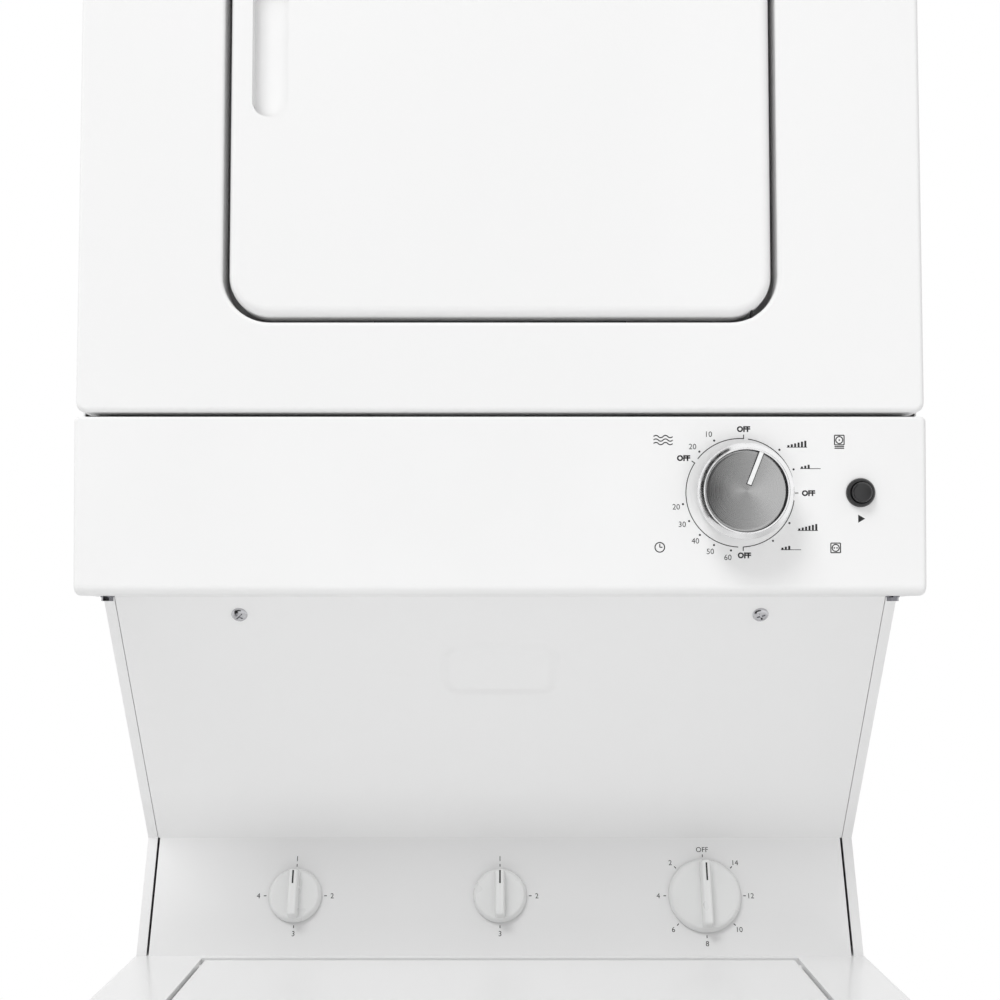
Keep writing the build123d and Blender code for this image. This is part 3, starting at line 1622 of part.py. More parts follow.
# Dryer timer: the switch block behind the console that the knob's stem turns in
with BuildPart() as dryer_timer:
    with BuildSketch(timer_face.offset(-console_wall)):
        RectangleRounded(timer_body_size, timer_body_size, pull_radius / 2)
    extrude(amount=-timer_body_depth)
    with BuildSketch(timer_face.offset(-console_wall)):
        Circle(knob_stem_radius + running_gap)
    extrude(amount=-knob_stem, mode=Mode.SUBTRACT)
save(dryer_timer.part, "dryer_timer")

# Start switch: a round bezel on the console with the switch barrel behind it
start_face = on_console(start_x, timer_rise)
barrel_floor = 3.0
with BuildPart() as start_switch:
    turned(
        turned_on(start_face),
        [
            (0, -start_body_length),
            (start_body_radius, -start_body_length),
            (start_body_radius, 0),
            (start_bezel_radius, 0),
            (start_bezel_radius, start_bezel_height - start_bezel_chamfer),
            (start_bezel_radius - start_bezel_chamfer, start_bezel_height),
            (start_button_radius + running_gap, start_bezel_height),
            (start_button_radius + running_gap, barrel_floor - start_body_length),
            (0, barrel_floor - start_body_length),
        ],
    )
save(start_switch.part, "start_switch")

# Start button: a plunger that slides in the barrel
with BuildPart() as start_button:
    with BuildSketch(start_face.offset(start_button_height)):
        Circle(start_button_radius)
    extrude(amount=-start_button_length)
    fillet(start_button.edges().sort_by(Axis.Y)[0], start_travel / 3)
save(start_button.part, "start_button")

# Front bulkhead: carries the door throat in front and the drum's collar behind
with BuildPart() as front_bulkhead:
    bulkhead_foot_z = face_bottom_z + floor_flange
    block(
        (-dryer_inner_half, dryer_inner_half),
        (bulkhead_y, bulkhead_y + sheet),
        (bulkhead_foot_z, stack_height - dryer_corner_radius),
    )
    rounded_plate(
        front_plane(throat_front_y, opening_z),
        throat_width + 2 * sheet,
        throat_height + 2 * sheet,
        throat_radius + sheet,
        -throat_reach,
    )
    rod((0, bulkhead_y + sheet, drum_z), (0, 1, 0), collar_depth, collar_radius)
    rod((0, bulkhead_y + sheet, drum_z), (0, 1, 0), collar_depth, collar_radius - sheet, Mode.SUBTRACT)
    rounded_plate(
        front_plane(throat_front_y, opening_z),
        throat_width,
        throat_height,
        throat_radius,
        -throat_reach - sheet,
        Mode.SUBTRACT,
    )
    lint_back_y = bulkhead_y - lint_setback
    lint_front_y = lint_back_y - lint_thickness
    sill_z = opening_z - throat_height / 2
    block(
        (-lint_half_width - lint_gap, lint_half_width + lint_gap),
        (lint_front_y - lint_gap, lint_back_y + lint_gap),
        (sill_z - sheet, sill_z),
        Mode.SUBTRACT,
    )
save(front_bulkhead.part, "front_bulkhead")

# Lint screen: a ribbed frame that lifts out of the throat's sill by its grip
lint_top_z = sill_z + lint_grip
lint_rows = 3
with BuildPart() as lint_screen:
    block(
        (-lint_half_width, lint_half_width),
        (lint_front_y, lint_back_y),
        (sill_z - lint_length, lint_top_z),
    )
    block(
        (-lint_half_width - lint_frame, lint_half_width + lint_frame),
        (lint_front_y, lint_back_y),
        (sill_z + seat_gap, lint_top_z),
    )
    window_height = (lint_length - lint_frame * (lint_rows + 1)) / lint_rows
    with BuildSketch(front_plane(lint_front_y, sill_z - lint_length / 2)) as windows:
        with GridLocations(lint_half_width - lint_frame / 2, window_height + lint_frame, 2, lint_rows):
            Rectangle(lint_half_width - 1.5 * lint_frame, window_height)
    extrude(amount=-lint_window_depth, mode=Mode.SUBTRACT)
save(lint_screen.part, "lint_screen")

# Blower housing: the lint duct, the round fan case and the outlet box, moulded as one
duct_half = lint_half_width + lint_gap + lint_duct_wall
duct_front_y = lint_front_y - lint_gap - lint_duct_wall
blower_case_radius = blower_radius + blower_tip_gap + blower_wall
blower_back_y = blower_front_y + blower_length + 2 * blower_tip_gap + 2 * blower_wall
outlet_x = exhaust_x - exhaust_radius - 2 * blower_wall
case_axis = fore_aft(0, motor_z)
with BuildPart() as blower_housing:
    block((-duct_half, duct_half), (duct_front_y, bulkhead_y), (lint_duct_foot_z, sill_z - sheet))
    rod((0, bulkhead_y, motor_z), (0, 1, 0), blower_front_y - bulkhead_y, blower_inlet_radius + blower_wall)
    rod((0, blower_front_y, motor_z), (0, 1, 0), blower_back_y - blower_front_y, blower_case_radius)
    block(
        (outlet_x, 0),
        (blower_front_y, blower_back_y),
        (motor_z - blower_case_radius, motor_z + blower_case_radius),
    )
    block(
        (-lint_half_width - lint_gap, lint_half_width + lint_gap),
        (lint_front_y - lint_gap, lint_back_y + lint_gap),
        (lint_duct_foot_z + lint_duct_wall, sill_z - sheet),
        Mode.SUBTRACT,
    )
    rod(
        (0, lint_back_y, motor_z),
        (0, 1, 0),
        blower_front_y + blower_wall - lint_back_y,
        blower_inlet_radius,
        Mode.SUBTRACT,
    )
    inside_y = (blower_front_y + blower_wall, blower_back_y - blower_wall)
    rod(
        (0, inside_y[0], motor_z),
        (0, 1, 0),
        inside_y[1] - inside_y[0],
        blower_case_radius - blower_wall,
        Mode.SUBTRACT,
    )
    block(
        (outlet_x + blower_wall, 0),
        inside_y,
        (motor_z - blower_case_radius + blower_wall, motor_z + blower_case_radius - blower_wall),
        Mode.SUBTRACT,
    )
    rod((0, inside_y[1], motor_z), (0, 1, 0), blower_wall, dryer_shaft_radius + hole_gap, Mode.SUBTRACT)
    rod(
        (exhaust_x, inside_y[1], motor_z),
        (0, 1, 0),
        blower_wall,
        exhaust_radius - 2 * exhaust_wall,
        Mode.SUBTRACT,
    )
save(blower_housing.part, "blower_housing")

# Exhaust duct: a straight tube from the outlet box to the collar behind the rear panel
with BuildPart() as exhaust_duct:
    duct_length = rear_y + collar_reach - blower_back_y
    rod((exhaust_x, blower_back_y, motor_z), (0, 1, 0), duct_length, exhaust_radius)
    rod((exhaust_x, rear_y, motor_z), (0, 1, 0), port_bead, exhaust_radius + port_bead_lip)
    rod(
        (exhaust_x, blower_back_y, motor_z),
        (0, 1, 0),
        duct_length,
        exhaust_radius - exhaust_wall,
        Mode.SUBTRACT,
    )
save(exhaust_duct.part, "exhaust_duct")

# Blower wheel: a squirrel cage of blades between a back plate and a front hoop
cage_front_y = blower_front_y + blower_wall + blower_tip_gap
cage_back_y = cage_front_y + blower_length
cage_plate = 2.0
with BuildPart() as blower_wheel:
    rod((0, cage_back_y - cage_plate, motor_z), (0, 1, 0), cage_plate, blower_radius)
    rod((0, cage_back_y - blower_length / 2, motor_z), (0, 1, 0), blower_length / 2, 2 * dryer_shaft_radius)
    with BuildSketch(case_axis.offset(0)) as hoop:
        with Locations((blower_radius - blower_blade_depth / 2, cage_front_y + cage_plate / 2)):
            Rectangle(blower_blade_depth, cage_plate)
    revolve(axis=Axis(case_axis.origin, case_axis.y_dir))
    with Locations(Plane(origin=(0, cage_front_y + cage_plate / 2, motor_z), z_dir=(0, 1, 0))):
        with PolarLocations(blower_radius - blower_blade_depth / 2, blower_blades):
            Box(
                blower_blade_depth - blower_blade_root,
                blower_blade_width,
                blower_length - cage_plate,
                align=(Align.CENTER, Align.CENTER, Align.MIN),
            )
    rod(
        (0, cage_back_y - blower_length / 2, motor_z),
        (0, 1, 0),
        blower_length / 2,
        dryer_shaft_radius + running_gap,
        Mode.SUBTRACT,
    )
save(blower_wheel.part, "blower_wheel")

# Dryer motor: a can with two end bells on a cradle, bored for its through shaft
bell = 14.0
motor_back_y = dryer_motor_front_y + dryer_motor_length
with BuildPart() as dryer_motor:
    turned(
        case_axis,
        [
            (0, dryer_motor_front_y),
            (dryer_motor_cap_radius, dryer_motor_front_y),
            (dryer_motor_radius, dryer_motor_front_y + bell),
            (dryer_motor_radius, motor_back_y - bell),
            (dryer_motor_cap_radius, motor_back_y),
            (0, motor_back_y),
        ],
    )
    block(
        (-motor_cradle_half_width, motor_cradle_half_width),
        (dryer_motor_front_y + bell, motor_back_y - bell),
        (basin_top_z, motor_z - motor_cradle_drop),
    )
    rod(
        (0, dryer_motor_front_y, motor_z),
        (0, 1, 0),
        dryer_motor_length,
        dryer_shaft_radius + running_gap,
        Mode.SUBTRACT,
    )
save(dryer_motor.part, "dryer_motor")

# Dryer motor pulley with the through shaft that also carries the blower wheel
shaft_front_y = cage_back_y - blower_length / 2
pulley_back_y = motor_pulley_y + motor_pulley_width / 2
with BuildPart() as dryer_motor_pulley:
    rod((0, shaft_front_y, motor_z), (0, 1, 0), pulley_back_y - shaft_front_y, dryer_shaft_radius)
    rod(
        (0, pulley_back_y - motor_pulley_width, motor_z),
        (0, 1, 0),
        motor_pulley_width,
        motor_pulley_radius,
    )
save(dryer_motor_pulley.part, "dryer_motor_pulley")

# Drum belt: one loop round the drum and the motor pulley
with BuildPart() as drum_belt:
    hull_loop(
        front_plane(motor_pulley_y + belt_width / 2, 0),
        [(0, drum_z, drum_radius + seat_gap), (0, motor_z, motor_pulley_radius + seat_gap)],
        belt_thickness,
        belt_width,
    )
save(drum_belt.part, "drum_belt")

# Dryer drum: an open-fronted shell with a turned-in lip and a shaft riveted to its back
drum_back_y = drum_front_y + drum_depth
with BuildPart() as dryer_drum:
    turned(
        drum_axis,
        [
            (drum_radius - drum_lip, drum_front_y),
            (drum_radius, drum_front_y),
            (drum_radius, drum_back_y),
            (drum_shaft_radius, drum_back_y),
            (drum_shaft_radius, drum_back_y + drum_shaft_length),
            (0, drum_back_y + drum_shaft_length),
            (0, drum_back_y - drum_wall - drum_plate),
            (drum_plate_radius, drum_back_y - drum_wall - drum_plate),
            (drum_plate_radius, drum_back_y - drum_wall),
            (drum_radius - drum_wall, drum_back_y - drum_wall),
            (drum_radius - drum_wall, drum_front_y + drum_wall),
            (drum_radius - drum_lip, drum_front_y + drum_wall),
        ],
    )
save(dryer_drum.part, "dryer_drum")

# Drum baffles: tapered lifters screwed to the inside of the drum
baffle_length = drum_depth - 2 * baffle_end_gap
shell_inside = drum_radius - drum_wall
baffle_base = sqrt(shell_inside**2 - (baffle_foot / 2) ** 2) - seat_gap
with BuildPart() as drum_baffles:
    for step in range(baffle_count):
        turn = radians(90 + step * 360 / baffle_count)
        baffle_plane = Plane(
            origin=(0, drum_front_y + baffle_end_gap, drum_z),
            x_dir=(cos(turn), 0, sin(turn)),
            z_dir=(0, 1, 0),
        )
        with BuildSketch(baffle_plane) as baffle:
            with BuildLine():
                Polyline(
                    (baffle_base, -baffle_foot / 2),
                    (baffle_base, baffle_foot / 2),
                    (shell_inside - baffle_height, baffle_crest / 2),
                    (shell_inside - baffle_height, -baffle_crest / 2),
                    close=True,
                )
            make_face()
            fillet(baffle.vertices().sort_by(Axis.X)[:2], baffle_crest_radius)
        extrude(amount=baffle_length)
save(drum_baffles.part, "drum_baffles")

# Rear bulkhead: a sheet with the drum's bearing hub and a ring of air holes round it
with BuildPart() as rear_bulkhead:
    block(
        (-dryer_inner_half, dryer_inner_half),
        (rear_bulkhead_y, rear_bulkhead_y + sheet),
        (basin_top_z + floor_flange, stack_height - dryer_corner_radius),
    )
    rod((0, rear_bulkhead_y, drum_z), (0, -1, 0), hub_length, hub_outer_radius)
    rod(
        (0, rear_bulkhead_y, drum_z),
        (0, -1, 0),
        hub_length,
        drum_shaft_radius + running_gap,
        Mode.SUBTRACT,
    )
    with Locations(Plane(origin=(0, rear_bulkhead_y + sheet / 2, drum_z), z_dir=(0, 1, 0))):
        with PolarLocations(air_ring_radius, air_hole_count):
            Cylinder(air_hole_radius, 2 * sheet, mode=Mode.SUBTRACT)
    rod((exhaust_x, rear_bulkhead_y, motor_z), (0, 1, 0), sheet, exhaust_radius + hole_gap, Mode.SUBTRACT)
save(rear_bulkhead.part, "rear_bulkhead")

# Heater box: a shallow sheet housing over the air holes, on the bulkhead's back
heater_front_y = rear_bulkhead_y + sheet
with BuildPart() as heater_box:
    block(
        (-heater_half_width, heater_half_width),
        (heater_front_y, heater_front_y + heater_depth),
        (drum_z - heater_height / 2, drum_z + heater_height / 2),
    )
    fillet(heater_box.edges().filter_by(Axis.Y), pull_radius)
    offset(amount=-sheet, openings=heater_box.faces().sort_by(Axis.Y)[0])
save(heater_box.part, "heater_box")
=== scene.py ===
"""Dress the stacked washer and dryer: finishes on every sheet and moulding, the timer dial and its
print, the washer's controls, the pressed recess panel and the small fasteners."""
import logging
import math
from dataclasses import dataclass, field, replace
from enum import Enum
from itertools import pairwise
from typing import Callable, ClassVar, Sequence

import bmesh
import bpy
from mathutils import Matrix, Vector


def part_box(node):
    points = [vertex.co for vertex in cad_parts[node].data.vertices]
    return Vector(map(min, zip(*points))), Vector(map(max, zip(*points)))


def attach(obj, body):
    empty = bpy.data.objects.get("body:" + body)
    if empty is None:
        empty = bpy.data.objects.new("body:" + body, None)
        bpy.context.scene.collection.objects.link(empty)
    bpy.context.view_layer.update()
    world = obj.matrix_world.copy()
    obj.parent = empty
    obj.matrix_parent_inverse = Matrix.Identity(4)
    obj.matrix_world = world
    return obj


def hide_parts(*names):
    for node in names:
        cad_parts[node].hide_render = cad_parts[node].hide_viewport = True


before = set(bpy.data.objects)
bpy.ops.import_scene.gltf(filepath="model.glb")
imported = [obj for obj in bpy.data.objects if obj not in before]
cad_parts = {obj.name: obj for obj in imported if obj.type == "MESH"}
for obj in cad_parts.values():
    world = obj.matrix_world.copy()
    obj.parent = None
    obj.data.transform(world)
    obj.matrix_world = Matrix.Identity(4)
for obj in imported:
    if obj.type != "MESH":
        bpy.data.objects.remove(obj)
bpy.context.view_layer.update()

log = logging.getLogger("laundry_stack")

MM = 0.001
CAP_SHARE = 0.70  # a capital's height in the font's size
DOUBLED = 1e-7  # points nearer than this, in metres, are one
STEEP = 0.9  # the upward part of a normal that points to the top
NOISE_BAND = (0.3, 0.7)  # where nearly all of a noise's values lie
Piece = bpy.types.Object
Socket = bpy.types.NodeSocket
Pair = tuple[float, float]
Point = tuple[float, float, float]
Colour = tuple[float, float, float]
Profile = Sequence[Pair]
Steps = Sequence[Pair]


class Slot(Enum):
    """The record's material slots that are named with each new piece."""

    ENAMEL = "white_enamel"
    WHITE_PLASTIC = "white_plastic"
    SILVER = "knob_silver"
    BLACK_PLASTIC = "black_plastic"
    SCREW_STEEL = "screw_steel"
    ZINC = "galvanised"


class Body(Enum):
    """The moving bodies that new pieces ride on."""

    STACK = "stack"
    TIMER = "timer_control"
    START = "start_control"
    LEVEL = "level_control"
    TEMPERATURE = "temp_control"
    CYCLE = "cycle_control"
    DOOR = "door"


class NodeBench:
    """Lays out the nodes of one shader tree."""

    def __init__(self, tree: bpy.types.NodeTree, kind: str) -> None:
        """Clear a tree and give it its output.

        Args:
            tree: the tree of a material or of the world.
            kind: what the tree belongs to, Material or World.
        """
        self.nodes = tree.nodes
        self.links = tree.links
        self.nodes.clear()
        self.output = self.nodes.new(f"ShaderNodeOutput{kind}")

    def add(self, kind: str, output: str, inputs: dict[str | int, Socket | float | tuple],
            **settings: str) -> Socket:
        """Add one node.

        Args:
            kind: its type, without the prefix.
            output: the output that is wanted.
            inputs: a source or a constant for each input.
            settings: the node's own properties.

        Returns:
            The wanted output.
        """
        node = self.nodes.new(f"ShaderNode{kind}")
        for name, value in settings.items():
            setattr(node, name, value)
        for name, value in inputs.items():
            if isinstance(value, Socket):
                self.links.new(value, node.inputs[name])
            else:
                node.inputs[name].default_value = value
        return node.outputs[output]

    def maths(self, operation: str, first: Socket, second: Socket | float = 0.0) -> Socket:
        """Add one arithmetic step and return its result."""
        return self.add("Math", "Value", {0: first, 1: second}, operation=operation)

    def show(self, shader: Socket) -> None:
        """Link a shader to the tree's output."""
        self.links.new(shader, self.output.inputs["Surface"])

    def show_mix(self, share: Socket, first: Socket, second: Socket) -> None:
        """Link two shaders to the tree's output, mixed by the second one's share."""
        self.show(self.add("MixShader", "Shader", {"Fac": share, 1: first, 2: second}))


class FinishBench(NodeBench):
    """Lays out the nodes of one finish round a single shader."""

    def __init__(self, name: str) -> None:
        """Start a material with one shader on object coordinates.

        Args:
            name: the material's name.
        """
        self.material = bpy.data.materials.new(name)
        self.material.use_nodes = True
        super().__init__(self.material.node_tree, "Material")
        self.shader = self.nodes.new("ShaderNodeBsdfPrincipled")
        self.show(self.shader.outputs["BSDF"])
        self.place = self.nodes.new("ShaderNodeTexCoord").outputs["Object"]

    def fix(self, **values: float) -> None:
        """Set constant sockets of the shader, named with _ for each space."""
        for name, value in values.items():
            self.shader.inputs[name.replace("_", " ")].default_value = value

    def feed(self, socket: str, source: Socket) -> None:
        """Link a source into one of the shader's sockets."""
        self.links.new(source, self.shader.inputs[socket])

    def noise(self, scale: float, detail: float = 2.0) -> Socket:
        """Add cloudy noise with so many cells per metre and octaves."""
        return self.add("TexNoise", "Fac", {"Vector": self.place, "Scale": scale, "Detail": detail})

    def cells(self, scale: float, output: str) -> Socket:
        """Add a pattern with so many cells per metre and return its Distance or Color."""
        return self.add("TexVoronoi", output, {"Vector": self.place, "Scale": scale})

    def distance(self, place: Socket) -> Socket:
        """Measure how far a place is from the origin."""
        return self.add("VectorMath", "Value", {0: place}, operation="LENGTH")

    def ramp(self, value: Socket, *stops: tuple[float, Colour]) -> Socket:
        """Turn a value into a colour along stops.

        Args:
            value: the driving value.
            stops: (position, colour) pairs in rising order.

        Returns:
            The colour's socket.
        """
        colour = self.add("ValToRGB", "Color", {"Fac": value})
        elements = colour.node.color_ramp.elements
        while len(elements) < len(stops):
            elements.new(0.5)
        for element, (position, tint) in zip(elements, stops):
            element.position = position
            element.color = (*tint, 1.0)
        return colour

    def remap(self, value: Socket, source: Pair, target: Pair) -> Socket:
        """Stretch a value from one range to another, clamped at both ends."""
        limits = zip(("From Min", "From Max", "To Min", "To Max"), (*source, *target))
        return self.add("MapRange", "Result", {"Value": value, **dict(limits)})

    def bump(self, height: Socket, depth: float) -> None:
        """Feed a height from 0 to 1 into the shader's normal, with a depth in metres."""
        self.feed("Normal", self.add("Bump", "Normal", {"Height": height, "Distance": depth}))


def shade(colour: Colour, factor: float) -> Colour:
    """Return a colour made lighter or darker by a factor."""
    return tuple(min(1.0, channel * factor) for channel in colour)


@dataclass(frozen=True)
class Grain:
    """Cloudy noise that varies a finish by two factors at the ends of a band of its values."""

    scale: float
    detail: float
    factors: Pair
    band: Pair = NOISE_BAND


@dataclass(frozen=True)
class Skin:
    """Fine noise that stands up from a finish, with its depth in metres."""

    scale: float
    detail: float
    depth: float


@dataclass(frozen=True)
class Finish:
    """A surface finish, made as a material the first time it is used."""

    name: str
    tint: Colour
    roughness: float

    def lay(self, bench: FinishBench) -> None:
        """Lay the finish's nodes out on a bench."""
        raise NotImplementedError

    def tone(self, bench: FinishBench, value: Socket, places: Sequence[float],
             factors: Sequence[float]) -> None:
        """Feed the shader's colour: the tint, made lighter or darker along a value.

        Args:
            bench: the finish's bench.
            value: the driving value.
            places: rising places on the value.
            factors: the tint's factor at each place.
        """
        colours = [shade(self.tint, factor) for factor in factors]
        bench.feed("Base Color", bench.ramp(value, *zip(places, colours)))

    def gloss(self, bench: FinishBench, value: Socket, span: Pair, factors: Pair) -> None:
        """Feed the shader's roughness, made duller or brighter along a value.

        Args:
            bench: the finish's bench.
            value: the driving value.
            span: the value's range.
            factors: the roughness's factor at each end of the range.
        """
        low, high = (min(1.0, self.roughness * factor) for factor in factors)
        bench.feed("Roughness", bench.remap(value, span, (low, high)))

    def material(self) -> bpy.types.Material:
        """Make the finish's material, or take it where it is made already.

        Returns:
            The material.
        """
        made = bpy.data.materials.get(self.name)
        if made is None:
            bench = FinishBench(self.name)
            self.lay(bench)
            made = bench.material
        return made


@dataclass(frozen=True)
class CloudyFinish(Finish):
    """A finish whose tone, gloss and skin each follow cloudy noise, under a clear coat where asked."""

    clouds: Grain = Grain(6.0, 2.0, (0.98, 1.01))
    dulling: Grain = Grain(45.0, 2.0, (0.88, 1.12))
    skin: Skin = Skin(1400.0, 2.0, 0.00002)
    metallic: float = 0.0
    coat: float = 0.0
    coat_roughness: float = 0.03
    ior: float = 1.5

    def lay(self, bench: FinishBench) -> None:
        """Lay the tone, the gloss and the skin.

        Args:
            bench: the finish's bench.
        """
        for feed, grain in ((self.tone, self.clouds), (self.gloss, self.dulling)):
            feed(bench, bench.noise(grain.scale, grain.detail), grain.band, grain.factors)
        bench.fix(
            Metallic=self.metallic, Coat_Weight=self.coat, Coat_Roughness=self.coat_roughness, IOR=self.ior)
        bench.bump(bench.noise(self.skin.scale, self.skin.detail), self.skin.depth)


@dataclass(frozen=True)
class EnamelSheet(CloudyFinish):
    """Baked enamel on sheet steel, with a slow drift of tone and a faint orange peel."""

    clouds: Grain = Grain(2.5, 1.0, (0.985, 1.0))
    dulling: Grain = Grain(7.0, 1.0, (0.95, 1.05), (0.2, 0.8))
    skin: Skin = Skin(420.0, 1.5, 0.00003)
    coat: float = 0.25
    coat_roughness: float = 0.12


@dataclass(frozen=True)
class Moulding(CloudyFinish):
    """Moulded plastic with a fine tool grain."""

    coat_roughness: float = 0.06
    ior: float = 1.49


@dataclass(frozen=True)
class PlatedMetal(CloudyFinish):
    """Bright plated metal, a little uneven and dulled in places."""

    clouds: Grain = Grain(60.0, 3.0, (0.93, 1.0), (0.35, 0.65))
    dulling: Grain = Grain(160.0, 3.0, (0.7, 1.6), (0.35, 0.75))
    skin: Skin = Skin(900.0, 1.0, 0.000004)
    metallic: float = 1.0


@dataclass(frozen=True)
class Rubber(CloudyFinish):
    """Matt rubber with a dusty bloom and a pitted skin."""

    clouds: Grain = Grain(35.0, 4.0, (1.0, 1.9), (0.35, 0.8))
    dulling: Grain = Grain(35.0, 4.0, (0.9, 1.2), (0.3, 0.8))
    skin: Skin = Skin(700.0, 3.0, 0.00012)


@dataclass(frozen=True)
class Casting(CloudyFinish):
    """Cast or painted metal with blotches and a sandy skin."""

    clouds: Grain = Grain(22.0, 4.0, (0.8, 1.0))
    dulling: Grain = Grain(22.0, 4.0, (0.85, 1.15))
    skin: Skin = Skin(260.0, 4.0, 0.00025)
    metallic: float = 1.0


@dataclass(frozen=True)
class Ink(CloudyFinish):
    """Screen-printed ink, slightly uneven in its density."""

    clouds: Grain = Grain(900.0, 2.0, (0.85, 1.2))
    dulling: Grain = Grain(900.0, 2.0, (0.9, 1.1))
    skin: Skin = Skin(900.0, 2.0, 0.000005)


@dataclass(frozen=True)
class SpunDisc(Finish):
    """A turned metal face, brushed in rings about its own middle."""

    middle: Point = (0.0, 0.0, 0.0)
    ring_scale: float = 2600.0
    ring_depth: float = 0.000003
    anisotropy: float = 0.8

    def lay(self, bench: FinishBench) -> None:
        """Lay rings round the face's middle and stretch the highlight along them.

        Args:
            bench: the finish's bench.
        """
        across, _, up = self.middle
        shifted = bench.add("Mapping", "Vector", {
            "Vector": bench.place, "Scale": (1, 0, 1), "Location": (-across, 0, -up)})
        rings = bench.add("TexNoise", "Fac", {
            "W": bench.distance(shifted), "Scale": self.ring_scale, "Detail": 3.0}, noise_dimensions="1D")
        self.tone(bench, rings, NOISE_BAND, (0.94, 1.05))
        self.gloss(bench, rings, NOISE_BAND, (0.9, 1.1))
        bench.fix(Metallic=1.0, Anisotropic=self.anisotropy)
        bench.feed("Tangent", bench.add("Tangent", "Tangent", {}, direction_type="UV_MAP"))
        bench.bump(rings, self.ring_depth)


@dataclass(frozen=True)
class ZincSheet(Finish):
    """Galvanised steel with its spangle of grey crystals."""

    spangle_scale: float = 70.0
    spangle_share: float = 0.6
    spangle_depth: float = 0.00001
    cloud_scale: float = 9.0
    metallic: float = 0.9

    def lay(self, bench: FinishBench) -> None:
        """Lay the crystals' tones and their different gloss.

        Args:
            bench: the finish's bench.
        """
        crystal = bench.cells(self.spangle_scale, "Color")
        spangle = bench.maths("MULTIPLY", crystal, self.spangle_share)
        cloud = bench.maths("MULTIPLY", bench.noise(self.cloud_scale, 3.0), 1 - self.spangle_share)
        tone = bench.maths("ADD", spangle, cloud)
        self.tone(bench, tone, (0.2, 0.5, 0.8), (0.82, 1.0, 1.12))
        self.gloss(bench, tone, (0.2, 0.8), (0.8, 1.2))
        bench.fix(Metallic=self.metallic)
        bench.bump(crystal, self.spangle_depth)


@dataclass(frozen=True)
class SpeckledPorcelain(Finish):
    """Porcelain enamel with fine dark specks, and drain holes where asked, painted as dots of shade."""

    speck_scale: float = 330.0
    speck_size: float = 0.16
    speck_core: float = 0.6
    speck_tint: Colour = (0.16, 0.17, 0.19)
    gloss_scale: float = 40.0
    skin: Skin = Skin(300.0, 1.0, 0.00003)
    hole_rows: float = 0.0
    hole_columns: float = 0.0
    hole_shade_tint: Colour = (0.015, 0.015, 0.017)
    hole_depth: float = 0.0012
    hole_edge: Pair = (0.010, 0.016)
    axis_y: float = 0.0

    def lay(self, bench: FinishBench) -> None:
        """Lay the specks, and the rows of drain holes round the upright axis as painted shade with a bump.

        Args:
            bench: the finish's bench.
        """
        speck = bench.cells(self.speck_scale, "Distance")
        core = self.speck_size * self.speck_core
        tone = bench.ramp(speck, (core, self.speck_tint), (self.speck_size, self.tint))
        self.gloss(bench, bench.noise(self.gloss_scale), NOISE_BAND, (0.85, 1.2))
        bench.fix(Coat_Weight=0.3, Coat_Roughness=0.08)
        if not self.hole_rows:
            bench.feed("Base Color", tone)
            bench.bump(bench.noise(self.skin.scale, self.skin.detail), self.skin.depth)
            return
        hole = self.hole_mask(bench)
        # painted shade: each drain hole is a near-black dot, not an opening
        bench.feed("Base Color", bench.add(
            "Mix", "Result", {"Factor": hole, "A": tone, "B": (*self.hole_shade_tint, 1.0)}, data_type="RGBA"))
        bench.bump(bench.remap(hole, (0.0, 1.0), (1.0, 0.0)), self.hole_depth)

    def hole_mask(self, bench: FinishBench) -> Socket:
        """Find the drain holes, in staggered rows round the upright axis.

        Args:
            bench: the finish's bench.

        Returns:
            A value that is 1 in a hole and 0 between the holes.
        """
        across, along, up = bench.add("SeparateXYZ", "X", {"Vector": bench.place}).node.outputs
        back = bench.maths("SUBTRACT", along, self.axis_y)
        turn = bench.maths("MULTIPLY", bench.maths("ARCTAN2", across, back), self.hole_columns / math.tau)
        row = bench.maths("MULTIPLY", up, self.hole_rows)
        stagger = bench.maths("MULTIPLY", bench.maths("FLOOR", row), 0.5)
        squares = []
        for count in (bench.maths("ADD", turn, stagger), row):
            from_middle = bench.maths("SUBTRACT", bench.maths("FRACT", count), 0.5)
            squares.append(bench.maths("POWER", bench.maths("ABSOLUTE", from_middle), 2.0))
        return bench.remap(bench.maths("ADD", *squares), self.hole_edge, (1.0, 0.0))


def clear_selection() -> None:
    """Go back to object mode with nothing selected."""
    if bpy.context.object and bpy.context.object.mode != "OBJECT":
        bpy.ops.object.mode_set(mode="OBJECT")
    bpy.ops.object.select_all(action="DESELECT")


def choose(piece: Piece) -> None:
    """Select one piece alone and make it the active one.

    Args:
        piece: the piece.
    """
    clear_selection()
    piece.select_set(True)
    bpy.context.view_layer.objects.active = piece


def started(name: str) -> Piece:
    """Name the object that was just added.

    Args:
        name: its new name.

    Returns:
        The object.
    """
    piece = bpy.context.object
    piece.name = name
    piece.data.name = name
    return piece


def settled(name: str, scale: Point = (1, 1, 1)) -> Piece:
    """Name the primitive that was just added, scale it and keep its place and size in its mesh.

    Args:
        name: its new name.
        scale: factors on its three axes.

    Returns:
        The primitive, which is the active piece.
    """
    piece = started(name)
    piece.scale = scale
    bpy.ops.object.transform_apply(location=True, rotation=True, scale=True)
    return piece


def open_mesh(mode: str = "FACE") -> None:
    """Enter edit mode on the active piece with the given kind of selection."""
    bpy.ops.object.mode_set(mode="EDIT")
    bpy.ops.mesh.select_mode(type=mode)


def close_mesh() -> None:
    """Leave edit mode."""
    bpy.ops.object.mode_set(mode="OBJECT")


